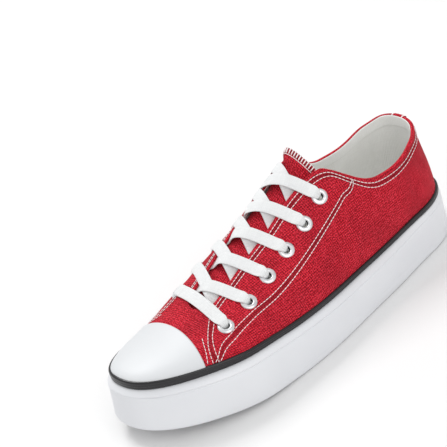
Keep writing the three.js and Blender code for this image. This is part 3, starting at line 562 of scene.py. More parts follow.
def canvas_finish(name, colour, dark, pale, thread, sheen, flecks):
    """Plain-weave cotton: crossing threads, uneven yarn, pale flecks and random darker clouds, with painted
    shade where an attribute marks seams and edges.
    """
    finish, tree, skin = nodes_of(name)
    uv = add(tree, "UVMap", {"uv_map": "cloth"}).outputs[0]
    threads = add(tree, "Mapping", i0=uv, i3=(10 / thread, 10 / thread, 1)).outputs[0]
    cell = add(tree, "SeparateXYZ", i0=threads)
    warp = maths(tree, "ABSOLUTE", maths(tree, "SINE", maths(tree, "MULTIPLY", cell.outputs[0], math.pi)))
    weft = maths(tree, "ABSOLUTE", maths(tree, "SINE", maths(tree, "MULTIPLY", cell.outputs[1], math.pi)))
    over = add(tree, "TexChecker", i0=threads, i1=(0, 0, 0, 1), i2=(1, 1, 1, 1), i3=1.0).outputs[1]
    warp_top = maths(tree, "MULTIPLY", warp, maths(tree, "MULTIPLY_ADD", weft, 0.5, 0.5))
    weft_top = maths(tree, "MULTIPLY", weft, maths(tree, "MULTIPLY_ADD", warp, 0.5, 0.5))
    crown = add(tree, "Mix", i0=over, i2=warp_top, i3=weft_top).outputs[0]
    yarn_across = add(tree, "Mapping", i0=uv, i3=(0.7, 9.0, 1)).outputs[0]
    yarn_up = add(tree, "Mapping", i0=uv, i3=(9.0, 0.7, 1)).outputs[0]
    slub_a = add(tree, "TexNoise", i0=yarn_across, i2=1.6, i3=3.0).outputs[0]
    slub_b = add(tree, "TexNoise", i0=yarn_up, i2=1.6, i3=3.0).outputs[0]
    slub = maths(tree, "MULTIPLY_ADD", slub_a, 0.5, maths(tree, "MULTIPLY", slub_b, 0.5))
    speck = add(tree, "TexNoise", i0=uv, i2=11.0, i3=2.0).outputs[0]
    fleck = ramp(tree, speck, 0.50, 0.66)
    pit = ramp(tree, speck, 0.50, 0.34)
    cloud = add(tree, "TexNoise", i0=uv, i2=0.35, i3=4.0).outputs[0]
    base = blend(tree, ramp(tree, crown, 0.15, 0.85), dark, colour)
    base = blend(tree, maths(tree, "MULTIPLY", ramp(tree, slub, 0.47, 0.62), 0.3), base, pale)
    base = blend(tree, maths(tree, "MULTIPLY", ramp(tree, slub, 0.50, 0.38), 0.25), base, dark)
    base = blend(tree, maths(tree, "MULTIPLY", fleck, flecks), base, pale)
    base = blend(tree, maths(tree, "MULTIPLY", pit, flecks), base, dark)
    base = blend(tree, maths(tree, "MULTIPLY", ramp(tree, cloud, 0.42, 0.66), 0.22), base, dark)
    # Painted shade: the attribute darkens the cloth along the canvas seams, at the lower edge of the lining's
    # facing and between the tongue's overlock bars.
    seam_dip_and_shade = add(tree, "Attribute", {"attribute_name": "seam_dip_and_shade"}).outputs["Fac"]
    base = blend(tree, maths(tree, "MULTIPLY", seam_dip_and_shade, 0.55), base, dark)
    tree.links.new(base, skin.inputs["Base Color"])
    height = maths(tree, "MULTIPLY_ADD", slub, 0.5, crown)
    bump = add(tree, "Bump", Strength=0.55, Distance=0.00035, Height=height)
    tree.links.new(bump.outputs[0], skin.inputs["Normal"])
    rough = maths(tree, "MULTIPLY_ADD", crown, -0.12, 0.95)
    tree.links.new(rough, skin.inputs["Roughness"])
    skin.inputs["Sheen Weight"].default_value = sheen
    skin.inputs["Sheen Roughness"].default_value = 0.6
    skin.inputs["Specular IOR Level"].default_value = 0.18
    return finish


red_canvas = canvas_finish(
    "red_canvas", (0.69, 0.006, 0.023, 1), (0.11, 0.002, 0.006, 1), (0.94, 0.060, 0.100, 1), 1.45, 0.02, 0.6)
lining_cotton = canvas_finish(
    "lining_cotton", (0.95, 0.95, 0.92, 1), (0.80, 0.80, 0.77, 1), (0.97, 0.97, 0.96, 1), 0.9, 0.1, 0.15)

CANVAS_ROWS = np.linspace(0, 1, 85)
FACING = 0.84             # where the folded facing that lies over the lining ends, as a share of the wall
LINING_ROWS = np.concatenate([np.linspace(0, 0.79, 16), np.linspace(0.81, 0.87, 13), np.linspace(0.9, 1, 5)])
half_loop = np.concatenate([
    even_stations(0, 40, 36), even_stations(40, COLLAR_FRONT, 44)[1:],
    even_stations(COLLAR_FRONT, THROAT_END, 92)[1:], even_stations(THROAT_END, SOLE_LENGTH, 64)[1:]])
loop_x = np.concatenate([half_loop[::-1], half_loop[1:]])
loop_side = np.concatenate([np.ones(len(half_loop)), -np.ones(len(half_loop) - 1)])


def upper_face(rows, depth):
    """The canvas or its lining as a table of points, from under the foxing to its own edge."""
    x, side = loop_x[:, None], loop_side[:, None]
    at = rows[None, :]
    points, normals = face_point(x, side, at), face_normal(x, side, at)
    moved = creased(points, x, normals)
    if depth:
        collar = 1 - smoothstep(x, COLLAR_FRONT - 12, COLLAR_FRONT)
        facing = 0.7 * collar * smoothstep(at, FACING - 0.012, FACING + 0.012)
        points = points + normals * (0.6 * moved - depth - facing)[..., None]
        # Painted shadow line along the lower edge of the lining's facing.
        seam_dip_and_shade = 0 * moved + collar * np.exp(-((at - FACING + 0.012) / 0.012) ** 2)
    else:
        # The seam field pulls the canvas in a little along its seams and also carries the painted shade
        # there.
        seam_dip_and_shade = line_field(points, seam_middles, 1.25)
        extra = layered(points, x + 0 * at)
        points = points + normals * (moved + extra - 0.30 * seam_dip_and_shade)[..., None]
    skirt = edge_point(loop_x, loop_side, read(CANVAS_INSET, "d", loop_x) + depth, 24.3)
    points = np.concatenate([skirt[:, None], points], axis=1)
    return points, np.concatenate([seam_dip_and_shade[:, :1], seam_dip_and_shade], axis=1)


def with_attribute(piece, points, name, values):
    """Writes a number for each corner of a grid that is still in the order it was made."""
    across, up = points.shape[0] - 1, points.shape[1] - 1
    layer = piece.data.attributes.new(name, "FLOAT", "POINT")
    order = np.arange(len(piece.data.vertices))
    layer.data.foreach_set("value", values[order % (across + 1), order // (across + 1)].ravel())
    return piece


canvas_points, canvas_seam_shade = upper_face(CANVAS_ROWS, 0.0)
lining_points, lining_facing_shade = upper_face(LINING_ROWS, WALL)
canvas = grid("canvas", canvas_points, lengths(canvas_points), red_canvas)
with_attribute(canvas, canvas_points, "seam_dip_and_shade", canvas_seam_shade)
lining = grid("lining", lining_points, lengths(lining_points), lining_cotton)
with_attribute(lining, lining_points, "seam_dip_and_shade", lining_facing_shade)
open_edge = np.flatnonzero(loop_x <= THROAT_END + 1e-6)
rim_out, rim_in = canvas_points[open_edge, -1], lining_points[open_edge, -1]
beyond = rim_out - canvas_points[open_edge, -4]
beyond = beyond / np.linalg.norm(beyond, axis=1)[:, None]
fullness = smoothstep(THROAT_END - loop_x[open_edge], 0.0, 5.0)[:, None]
turn = np.linspace(0, np.pi, 9)
radius = np.linalg.norm(rim_out - rim_in, axis=1)[:, None] / 2
fold = np.stack([
    (rim_out + rim_in) / 2 + (rim_out - rim_in) / 2 * np.cos(a) + 0.8 * radius * beyond * fullness * np.sin(a)
    for a in turn], axis=1)
folds = []
for half, finish in ((fold[:, :7], red_canvas), (fold[:, 6:], lining_cotton)):
    folds.append(with_attribute(grid("folded_edge", half, lengths(half), finish), half, "seam_dip_and_shade",
        np.zeros(half.shape[:2])))
hem_points = np.stack([canvas_points[:, 0], lining_points[:, 0]], axis=1)
hem = grid("hem", hem_points, lengths(hem_points), lining_cotton)
with_attribute(hem, hem_points, "seam_dip_and_shade", np.zeros(hem_points.shape[:2]))
upper = welded("upper_canvas", [canvas, lining, hem] + folds, angle=60)
settle(upper, "red_canvas", "upper")

# Eyelet holes are punched through canvas and lining; the metal eyelets line them.
EYELETS = table(
    "outer inner reach_outer reach_inner", (199, 190, 15.7, 14.0), (177, 170.5, 17.5, 14.5),
        (156.5, 152, 17.4, 14.5),
    (136, 133.5, 16.8, 14.5), (116.5, 115.5, 17.2, 14.0), (98.5, 97.5, 13.8, 12.5))
EYELET_HOLE = 3.0


def eyelet_seat(x, side):
    """Centre and outward normal of an eyelet on the canvas, and how far sideways it lies."""
    label = "outer" if side > 0 else "inner"
    reach = EYELETS["reach_" + label][int(np.argmin(np.abs(EYELETS[label] - x)))]
    start = place_sideways(x, side, by_side(RIDGE, "throat", x, side))
    at = np.linspace(start, start - 0.6, 600)
    line = instep_rib(x, side, at)
    run = np.concatenate([[0], np.cumsum(np.linalg.norm(np.diff(line, axis=0), axis=1))])
    at = np.interp(reach, run, at)
    centre = instep_rib(x, side, at)
    return centre, instep_normal(x, side, at), centre[1] - ridge_point(np.asarray(x))[1]


def beside(normal):
    """Two unit vectors square to a normal, the first as level as can be."""
    level = np.cross(normal, (0, 0, 1.0))
    level = level / np.linalg.norm(level)
    return level, np.cross(normal, level)


def turned_rings(centre, normal, profile, steps):
    """A table of points: a profile of radius and height turned round a normal."""
    level, rise = beside(normal)
    angle = np.linspace(0, 2 * np.pi, steps + 1)
    ring = np.cos(angle)[:, None] * level + np.sin(angle)[:, None] * rise
    radius, height = np.array(profile).T
    return centre + ring[:, None, :] * radius[None, :, None] + normal * height[None, :, None]


punches = []
for label, side in SIDES:
    for k in range(6):
        centre, normal, sideways = eyelet_seat(EYELETS[label][k], side)
        plug = [(0, -8), (EYELET_HOLE, -8), (EYELET_HOLE, 6), (0, 6)]
        points = turned_rings(centre, normal, plug, 20)
        punches.append(grid("punch", points, lengths(points), lining_cotton))
punch = welded("punch", punches)
holes = upper.modifiers.new("eyelet holes", "BOOLEAN")
holes.operation = "DIFFERENCE"
holes.object = punch
holes.solver = "EXACT"
bpy.context.view_layer.objects.active = upper
bpy.ops.object.modifier_apply(modifier="eyelet holes")
bpy.data.objects.remove(punch)
bpy.ops.object.mode_set(mode="EDIT")
bpy.ops.mesh.select_all(action="SELECT")
bpy.ops.mesh.remove_doubles(threshold=1e-5)
bpy.ops.mesh.dissolve_degenerate(threshold=1e-6)
bpy.ops.object.mode_set(mode="OBJECT")

# Lock-stitch rows: short white cotton stitches, each a small rounded lump that tapers to its ends.
def thread_finish(name, colour):
    """Twisted cotton thread, slightly shiny, a little grey where it has picked up dust."""
    finish, tree, skin = nodes_of(name)
    spot = add(tree, "TexCoord").outputs["Object"]
    twist = add(tree, "TexWave", {"bands_direction": "DIAGONAL"}, Vector=spot, Scale=900.0,
        Distortion=1.0).outputs[1]
    dust = add(tree, "TexNoise", Vector=spot, Scale=120.0, Detail=3.0).outputs[0]
    base = blend(tree, maths(tree, "MULTIPLY", twist, 0.25), colour,
        (colour[0] * 0.75, colour[1] * 0.72, colour[2] * 0.72, 1))
    base = blend(tree, maths(tree, "MULTIPLY", ramp(tree, dust, 0.5, 0.75), 0.25), base,
        (0.66, 0.50, 0.50, 1))
    tree.links.new(base, skin.inputs["Base Color"])
    bump = add(tree, "Bump", Strength=0.4, Distance=0.0001, Height=twist)
    tree.links.new(bump.outputs[0], skin.inputs["Normal"])
    skin.inputs["Roughness"].default_value = 0.7
    return finish


white_thread = thread_finish("white_thread", (0.93, 0.86, 0.86, 1))


def stitching(name, rows, finish, size, lift):
    """Stitches along rows of places and normals: one small rounded stitch, copied along them all."""
    bpy.ops.object.select_all(action="DESELECT")
    bpy.ops.mesh.primitive_uv_sphere_add(segments=8, ring_count=6, radius=0.5, rotation=(0, math.pi / 2, 0))
    bpy.ops.object.transform_apply(location=False, rotation=True, scale=False)
    seed = bpy.context.object
    shape = np.array([vertex.co[:] for vertex in seed.data.vertices])
    shape = shape * (size["length"], size["width"], size["height"])
    faces = [list(face.vertices) for face in seed.data.polygons]
    bpy.data.objects.remove(seed)
    corners, sides = [], []
    for line, way in rows:
        run = np.concatenate([[0], np.cumsum(np.linalg.norm(np.diff(line, axis=0), axis=1))])
        for place in np.arange(size["pitch"] / 2, run[-1], size["pitch"]):
            centre = np.array([np.interp(place, run, line[:, k]) for k in range(3)])
            ahead = np.array([np.interp(place + 0.6, run, line[:, k]) for k in range(3)])
            behind = np.array([np.interp(place - 0.6, run, line[:, k]) for k in range(3)])
            normal = np.array([np.interp(place, run, way[:, k]) for k in range(3)])
            along = (ahead - behind) / np.linalg.norm(ahead - behind)
            across = np.cross(normal, along)
            across = across / np.linalg.norm(across)
            turn = np.stack([along, across, np.cross(along, across)])
            start = len(corners) * len(shape)
            corners.append(centre + normal * lift + shape @ turn)
            sides += [[start + k for k in face] for face in faces]
    mesh = bpy.data.meshes.new(name)
    mesh.from_pydata(to_row(np.concatenate(corners)).tolist(), [], sides)
    mesh.polygons.foreach_set("use_smooth", np.ones(len(mesh.polygons), dtype=bool))
    mesh.materials.append(finish)
    piece = bpy.data.objects.new(name, mesh)
    bpy.context.scene.collection.objects.link(piece)
    return piece


settle(stitching("upper_stitching", stitch_rows, white_thread, STITCH, FOLD + 0.1), "red_canvas")

# ---------------------------------------------------------------- tongue
# Two layers of canvas, red outside and pale inside, sewn under the eyestays at the vamp. Its free
# top edge is bound with close white overlock stitches.
TONGUE = {"top": 91.0, "end": 212.0, "thick": 2.2, "half_top": 20.5, "half": 22.0, "inner": 6.0}
TONGUE_CORNERS = (-3.0, 5.0)               # how far the outer and inner corners lie ahead of the middle
TONGUE_DOME = {"lift": 8.4, "round": 2.8, "fall": 102.0}
TONGUE_HEM = 0.55          # the cloth is pressed thinner along its top edge


def tongue_point(across_share, along_share, depth):
    """Point and normal of the tongue; shares run -1..1 across and 0..1 from its top edge down."""
    across_share, along_share = spread(across_share, along_share)
    side = np.where(across_share >= 0, 1.0, -1.0)
    start = TONGUE["top"] + np.where(side > 0, *TONGUE_CORNERS) * np.abs(across_share) ** 3
    x = start + (TONGUE["end"] - start) * along_share
    half = TONGUE["half_top"] + (TONGUE["half"] - TONGUE["half_top"]) * smoothstep(x, 95, 112)
    sideways = (half - np.where(side > 0, 0, TONGUE["inner"])) * np.abs(across_share)
    at = np.where(np.abs(across_share) < 1e-6, 1.0, place_sideways(x, side, sideways))
    across = np.minimum(sideways / by_side(RIDGE, "throat", x, side), 1)
    shoulder = TONGUE_DOME["round"] * np.where(side > 0, 1.0, 0.25)
    dome = TONGUE_DOME["lift"] * (1 - across ** 2) ** 2 + 4 * shoulder * across ** 2 * (1 - across ** 2)
    lift = dome * (1 - smoothstep(x, TONGUE["top"], TONGUE_DOME["fall"]))
    clear = 0.3 * (2 + 2 * smoothstep(x, 186, 198) + 2.5 * (1 - smoothstep(x, 106, 118)))
    clear = clear + 0.9 * smoothstep(x, 104, 116)
    normal = instep_normal(x, side, at)
    return instep_rib(x, side, at) + normal * (lift - WALL - clear - depth)[..., None], normal


shares = np.linspace(-1, 1, 57)
down = np.linspace(0, 1, 111)
front, tongue_way = tongue_point(shares[:, None], down[None, :], 0.0)
pressed = TONGUE_HEM + (1 - TONGUE_HEM) * smoothstep(down, 0, 0.05)
rear, _ = tongue_point(shares[:, None], down[None, :], TONGUE["thick"] * pressed[None, :])
ripple = 0.18 * np.sin(down * 46)[None, :] * np.sin((shares * 5.0))[:, None]
front = front + tongue_way * ripple[..., None]
tongue_front = grid("tongue_front", front, lengths(front), red_canvas)
# Painted shadow on the cloth between the overlock bars along the top edge.
shaded = (1 - smoothstep(down, 0.018, 0.026))[None, :] + 0 * shares[:, None]
with_attribute(tongue_front, front, "seam_dip_and_shade", shaded)
tongue_patches = [tongue_front, grid("tongue_rear", rear, lengths(rear), lining_cotton)]
for points in (np.stack([front[:, 0], rear[:, 0]], 1), np.stack([front[:, -1], rear[:, -1]], 1),
               np.stack([front[0], rear[0]], 1), np.stack([front[-1], rear[-1]], 1)):
    tongue_patches.append(grid("tongue_edge", points, lengths(points), red_canvas))
tongue = welded("tongue_cloth", tongue_patches, angle=60)
settle(tongue, "red_canvas", "tongue")

bars = []
edge_shares = np.linspace(-0.97, 0.97, 27)
for share in edge_shares:
    line, way = tongue_point(share, np.array([0.024, 0.018, 0.011, 0.005, 0.0]), -0.24)
    inner_line, inner_way = tongue_point(share, np.array([0.0, 0.008, 0.016]),
        TONGUE["thick"] * TONGUE_HEM + 0.28)
    line, way = np.concatenate([line, inner_line]), np.concatenate([way, -inner_way])
    line[4] += (line[4] - line[2]) * 0.15
    bars.append((line, way))


def cords_along(name, lines, radius, finish, around=6):
    """Round threads along lines of places, as one piece, their ends drawn to a point."""
    patches = []
    for line, way in lines:
        ahead = np.gradient(line, axis=0)
        ahead = ahead / np.linalg.norm(ahead, axis=1)[:, None]
        level = np.cross(ahead, way)
        level = level / np.linalg.norm(level, axis=1)[:, None]
        up = np.cross(level, ahead)
        angle = np.linspace(0, 2 * np.pi, around + 1)
        thick = radius * np.sqrt(np.maximum(1 - np.linspace(-1, 1, len(line)) ** 8, 0))
        ring = np.cos(angle)[:, None, None] * level + np.sin(angle)[:, None, None] * up
        points = (line + ring * thick[:, None]).transpose(1, 0, 2)
        patches.append(grid(name, points, lengths(points), finish))
    return welded(name, patches, angle=80)


settle(cords_along("tongue_overlock", bars, 0.42, white_thread), "red_canvas")
chain, chain_way = tongue_point(np.linspace(-0.97, 0.97, 90), 0.025, -0.2)
settle(stitching("tongue_chain", [(chain, chain_way)], white_thread,
                 {"pitch": 1.8, "length": 1.9, "width": 0.55, "height": 0.45}, 0.0), "red_canvas")

# ---------------------------------------------------------------- sole
# Vulcanised sole: a smooth white tape is wrapped round the moulded bed, with a rounded bead where it
# meets the canvas, and a glossy black ribbed pinstripe is rolled on above it.
TAPE_THICKNESS = 2.3
STRIPE_HEIGHT = table("x z", (0, 3.6), (120, 3.6), (180, 4.2), (225, 5.2), (268, 5.6))
STRIPE_PROUD = 1.9
whole = even_stations(0, SOLE_LENGTH, 170)
round_x = np.concatenate([whole, whole[-2::-1]])
round_side = np.concatenate([np.ones(len(whole)), -np.ones(len(whole) - 1)])


def ring_of(name, section, finish, angle=40):
    """A closed ring round the outline; section gives its inset and height at each station."""
    corners = section(round_x)
    points = np.stack([edge_point(round_x, round_side, inset, height) for inset,
        height in corners + corners[:1]], 1)
    return welded(name, [grid(name, points, lengths(points), finish)], angle)


def rubber_finish(name, colour, shade, rough=0.42, grain=0.00006, dirt=0.25, gloss=0.5):
    """Calendered rubber: faint grain, a little uneven in tone, scuffed and dusty low on the wall."""
    finish, tree, skin = nodes_of(name)
    spot = add(tree, "TexCoord").outputs["Object"]
    cloud = add(tree, "TexNoise", Vector=spot, Scale=22.0, Detail=4.0).outputs[0]
    fine = add(tree, "TexNoise", Vector=spot, Scale=900.0, Detail=3.0).outputs[0]
    streaks = add(tree, "Mapping", Vector=spot, Scale=(60.0, 60.0, 600.0)).outputs[0]
    scuff = add(tree, "TexNoise", Vector=streaks, Scale=1.4, Detail=6.0, Roughness=0.7).outputs[0]
    height = add(tree, "SeparateXYZ", i0=spot).outputs[2]
    low = maths(tree, "SUBTRACT", 1.0, ramp(tree, height, 0.0, 0.012))
    base = blend(tree, maths(tree, "MULTIPLY", ramp(tree, cloud, 0.35, 0.7), 0.5), colour, shade)
    grime = maths(tree, "MULTIPLY", maths(tree, "MULTIPLY", ramp(tree, scuff, 0.52, 0.70), low), dirt)
    base = blend(tree, grime, base, (0.36, 0.34, 0.32, 1))
    mark = maths(tree, "MULTIPLY", ramp(tree, scuff, 0.66, 0.74), 0.18)
    base = blend(tree, mark, base, shade)
    tree.links.new(base, skin.inputs["Base Color"])
    bump = add(tree, "Bump", Strength=0.5, Distance=grain, Height=maths(tree, "ADD", fine, scuff))
    tree.links.new(bump.outputs[0], skin.inputs["Normal"])
    tree.links.new(maths(tree, "MULTIPLY_ADD", cloud, 0.16, rough - 0.08), skin.inputs["Roughness"])
    skin.inputs["Specular IOR Level"].default_value = gloss
    return finish


white_rubber = rubber_finish("white_rubber", (0.74, 0.75, 0.775, 1), (0.69, 0.70, 0.73, 1))
black_rubber = rubber_finish("black_rubber", (0.012, 0.011, 0.013, 1), (0.022, 0.022, 0.024, 1),
    rough=0.25, dirt=0.1, gloss=0.4)
# The cap is the same white rubber as the tape; this copy is set darker, as painted shade that holds back the
# light on the cap's top.
shaded_cap_rubber = rubber_finish("shaded_cap_rubber", (0.66, 0.675, 0.69, 1), (0.62, 0.635, 0.655, 1), rough=0.42,
    gloss=0.35)


def tape_section(x):
    """Foot, upright wall, small groove, rounded bead and shoulder, and the hidden inside."""
    top, inside = read(TAPE_TOP, "z", x), read(CANVAS_INSET, "d", x) - 0.3
    lean = 2.4 * smoothstep(x, 215, SOLE_LENGTH)
    corners = [(TAPE_THICKNESS, 0.5), (1.2, 0.5), (0.6, 0.62), (0.22, 1.0), (0.05, 1.7), (0.0, 3.0)]
    corners += [(lean * k, 3.0 + (top - 9.0) * k) for k in (0.25, 0.5, 0.75, 1.0)]
    corners += [(lean + 0.10, top - 4.9), (lean + 0.55, top - 4.35), (lean + 0.12, top - 3.8),
        (lean + 0.02, top - 3.1)]
    corners += [(0.93 * lean + 0.06 * inside + 0.3, top - 2.2), (0.8 * lean + 0.28 * inside + 0.3, top - 1.1)]
    corners += [(0.62 * lean + 0.48 * inside, top - 0.45), (0.3 * lean + 0.72 * inside, top - 0.06),
        (inside, top)]
    corners += [(inside, 24.15), (TAPE_THICKNESS, 24.15)]
    return [(inset + 0 * x, height + 0 * x) for inset, height in corners]


def stripe_section(x):
    """A band with fine lengthwise ribs."""
    low, inset, high = read(TAPE_TOP, "z", x), read(CANVAS_INSET, "d", x), read(STRIPE_HEIGHT, "z", x)
    share = np.linspace(0, 1, 25)
    ribs = 0.16 * np.abs(np.sin(share * math.pi * 3))
    bow = STRIPE_PROUD - 0.45 * (2 * share - 1) ** 4
    face = [(inset - bow_k - rib, low + high * k) for k, rib, bow_k in zip(share, ribs - 0.12, bow)]
    return [(inset - 0.3, low)] + face + [(inset - 0.3, low + high)]


settle(ring_of("foxing_tape", tape_section, white_rubber, 35), "white_rubber", "foxing")
settle(ring_of("pinstripe", stripe_section, black_rubber, 60), "black_rubber", "stripe")

# The moulded underside keeps its cut grooves; fine crepe texture and floor wear lie between them.
sole_rubber, tree, skin = nodes_of("sole_rubber")
spot = add(tree, "TexCoord").outputs["Object"]
diamonds = add(tree, "Mapping", Vector=spot, Rotation=(0, 0, math.radians(45)),
    Scale=(330.0, 330.0, 330.0)).outputs[0]
cell = add(tree, "SeparateXYZ", i0=diamonds)
cut_a = maths(tree, "ABSOLUTE", maths(tree, "SINE", cell.outputs[0]))
cut_b = maths(tree, "ABSOLUTE", maths(tree, "SINE", cell.outputs[1]))
tread = ramp(tree, maths(tree, "MINIMUM", cut_a, cut_b), 0.1, 0.4)
cloud = add(tree, "TexNoise", Vector=spot, Scale=30.0, Detail=5.0).outputs[0]
# The diamond cut lines are painted a darker grey than the rubber between them, as painted shade in the
# grooves.
base = blend(tree, tread, (0.50, 0.50, 0.52, 1), (0.74, 0.74, 0.76, 1))
base = blend(tree, maths(tree, "MULTIPLY", ramp(tree, cloud, 0.45, 0.7), 0.35), base, (0.45, 0.43, 0.41, 1))
tree.links.new(base, skin.inputs["Base Color"])
bump = add(tree, "Bump", Strength=0.8, Distance=0.0005, Height=tread)
tree.links.new(bump.outputs[0], skin.inputs["Normal"])
skin.inputs["Roughness"].default_value = 0.6
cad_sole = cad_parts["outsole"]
for slot in (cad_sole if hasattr(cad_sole, "material_slots") else bpy.data.objects[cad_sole]).material_slots:
    slot.material = sole_rubber

# ---------------------------------------------------------------- toe cap
# A thin moulded rubber cap, cemented over the toe of the vamp, its rear edge cut to a shallow curve.
CAP = {"ridge": 216.0, "curve": 0.0060, "skew": 0.11, "thick": 1.0}


def cap_rear(at, side):
    """Station of the cap's rear edge on each line of equal place on the ribs."""
    low, high = np.full(at.shape, 205.0), np.full(at.shape, 240.0)
    for _ in range(30):
        middle = (low + high) / 2
        point = instep_rib(middle, side, at)
        sideways = point[..., 1] - CAP_MIDDLE
        behind = point[..., 0] < CAP["ridge"] + CAP["skew"] * sideways + CAP["curve"] * sideways ** 2
        low, high = np.where(behind, middle, low), np.where(behind, high, middle)
    return low


CAP_MIDDLE = float(ridge_point(np.array(CAP["ridge"]))[1])
cap_patches = []
ahead = 1 - np.cos(np.linspace(0, math.pi / 2, 56))
ahead = (np.linspace(0, 1, 56) * 0.5 + 0.5 * ahead)[:, None]
for label, side in SIDES:
    at = np.linspace(0.012, 1, 60)[None, :]
    side = np.full(at.shape, side)
    rear = cap_rear(at, side)
    x = rear + (SOLE_LENGTH - rear) * ahead
    at = at + 0 * x
    side = side + 0 * x
    run = np.linalg.norm(instep_rib(x, side, at) - instep_rib(rear + 0 * x, side, at), axis=-1)
    rounded = np.sqrt(np.clip(1 - (1 - np.clip(run / 1.2, 0, 1)) ** 2, 0, 1))
    way = instep_normal(x, side, at)
    shell = instep_rib(x, side, at) + way * (0.1 + (CAP["thick"] + 0.15) * rounded)[..., None]
    cap_patches.append(grid("toe_cap_half", shell, lengths(shell), shaded_cap_rubber))
toe_cap = welded("toe_cap_shell", cap_patches, angle=60)
backing = toe_cap.modifiers.new("backing", "SOLIDIFY")
backing.thickness = 0.0005
backing.offset = -1
bpy.context.view_layer.objects.active = toe_cap
bpy.ops.object.modifier_apply(modifier="backing")
settle(toe_cap, "white_rubber", "toe_cap")

# ---------------------------------------------------------------- heel strip
# A narrow strip of the same canvas over the back seam, folded over the rim and sewn down both edges.
STRIP_HALF = 7.2
near = even_stations(0, 12, 60)
reach_out = near[np.abs(outline(to_angle(near), 1.0)[1] - outline(to_angle(near[:1]),
    1.0)[1]) <= STRIP_HALF / 0.9]
strip_x = np.interp(np.linspace(0, 1, 9), np.linspace(0, 1, len(reach_out)), reach_out)
strip_x = np.concatenate([strip_x[::-1], strip_x[1:]])[:, None]
strip_side = np.concatenate([np.ones(9), -np.ones(8)])[:, None]
strip_at = np.linspace(0.015, 1, 60)[None, :]
strip_way = face_normal(strip_x, strip_side, strip_at)
strip_face = face_point(strip_x, strip_side, strip_at) + strip_way * 1.0
over_rim = face_point(strip_x, strip_side, 1.0) + np.array([0, 0, 0.9])
over_rim = [over_rim - strip_way[:, -1:] * 0.9, over_rim - strip_way[:, -1:] * 2.1 - np.array([0, 0, 0.7])]
strip_points = np.concatenate([strip_face] + over_rim, axis=1)
strip = grid("heel_strip_cloth", strip_points, lengths(strip_points), red_canvas)
bpy.ops.object.mode_set(mode="EDIT")
bpy.ops.mesh.select_all(action="SELECT")
bpy.ops.mesh.remove_doubles(threshold=2e-6)
bpy.ops.object.mode_set(mode="OBJECT")
cloth = strip.modifiers.new("cloth", "SOLIDIFY")
cloth.thickness = 0.0006
cloth.offset = 0
bpy.ops.object.modifier_apply(modifier="cloth")
bpy.ops.object.shade_smooth_by_angle(angle=math.radians(60))
settle(strip, "red_canvas", "heel_strip")
strip_rows, strip_tacks = [], []
for column in (1, -2):
    strip_rows.append((strip_face[column, 4:], strip_way[column, 4:]))
    strip_tacks.append((strip_points[column, -4:],
        np.concatenate([strip_way[column, -2:], [(0, 0, 1.0)] * 2])))
settle(stitching("heel_strip_stitching", strip_rows, white_thread, STITCH, 0.4), "red_canvas")
TACK = {"pitch": 0.9, "length": 1.5, "width": 1.1, "height": 0.6}
settle(stitching("heel_strip_tacks", strip_tacks, white_thread, TACK, 0.5), "red_canvas")

# ---------------------------------------------------------------- insole
# Thin foam footbed faced with pale cotton, dished a little by its moulding, with a rounded edge.
bed_x = even_stations(0.6, SOLE_LENGTH - 0.8, 120)[:, None]
share = np.linspace(-1, 1, 41)[None, :]
low_edge = edge_point(bed_x, -1.0 + 0 * bed_x, read(CANVAS_INSET, "d", bed_x) + WALL + 0.3, 24.3)
high_edge = edge_point(bed_x, 1.0 + 0 * bed_x, read(CANVAS_INSET, "d", bed_x) + WALL + 0.3, 24.3)
under = low_edge + (high_edge - low_edge) * ((share + 1) / 2)[..., None]
dish = 3.5 - 1.2 * np.abs(share) ** 12 - 0.5 * (1 - share ** 2) + 0 * bed_x
over = under + np.stack([0 * dish, 0 * dish, dish], -1)
insole_patches = [grid("footbed", over, lengths(over), lining_cotton),
    grid("footbed_base", under, lengths(under), lining_cotton)]
for points in (np.stack([over[0], under[0]], 1), np.stack([over[-1], under[-1]], 1),
               np.stack([over[:, 0], under[:, 0]], 1), np.stack([over[:, -1], under[:, -1]], 1)):
    insole_patches.append(grid("footbed_edge", points, lengths(points), lining_cotton))
settle(welded("footbed", insole_patches, angle=60), "insole_cloth", "insole")

# ---------------------------------------------------------------- eyelets
# Two-part pressed metal eyelets: a rolled flange outside, a barrel through the canvas, a washer inside.
steel, tree, skin = nodes_of("eyelet_steel")
spot = add(tree, "TexCoord").outputs["Object"]
tarnish = add(tree, "TexNoise", Vector=spot, Scale=260.0, Detail=4.0).outputs[0]
metal = blend(tree, ramp(tree, tarnish, 0.4, 0.7), (0.80, 0.80, 0.81, 1), (0.62, 0.62, 0.64, 1))
# Painted shade: the inside of the barrel is painted near black, for the shade down the hole.
along_section = add(tree, "SeparateXYZ", i0=add(tree, "UVMap", {"uv_map": "cloth"}).outputs[0]).outputs[1]
bore_shade = ramp(tree, along_section, 0.38, 0.33)
tree.links.new(blend(tree, bore_shade, metal, (0.03, 0.03, 0.03, 1)), skin.inputs["Base Color"])
tree.links.new(maths(tree, "MULTIPLY_ADD", tarnish, 0.25, 0.16), skin.inputs["Roughness"])
scratches = add(tree, "TexNoise", Vector=spot, Scale=2500.0, Detail=2.0).outputs[0]
bump = add(tree, "Bump", Strength=0.2, Distance=0.00005, Height=scratches)
tree.links.new(bump.outputs[0], skin.inputs["Normal"])
skin.inputs["Metallic"].default_value = 0.85
FLANGE = [(2.35, -2.9), (2.35, 0.7), (2.5, 1.1), (2.9, 1.4), (3.4, 1.5), (4.2, 1.42), (4.9, 1.15),
    (5.3, 0.75),
          (5.3, 0.45), (4.9, 0.35), (2.9, 0.35), (2.85, -2.3), (4.6, -2.35), (4.7, -2.6), (4.5, -2.85),
              (2.35, -2.9)]
rings = []
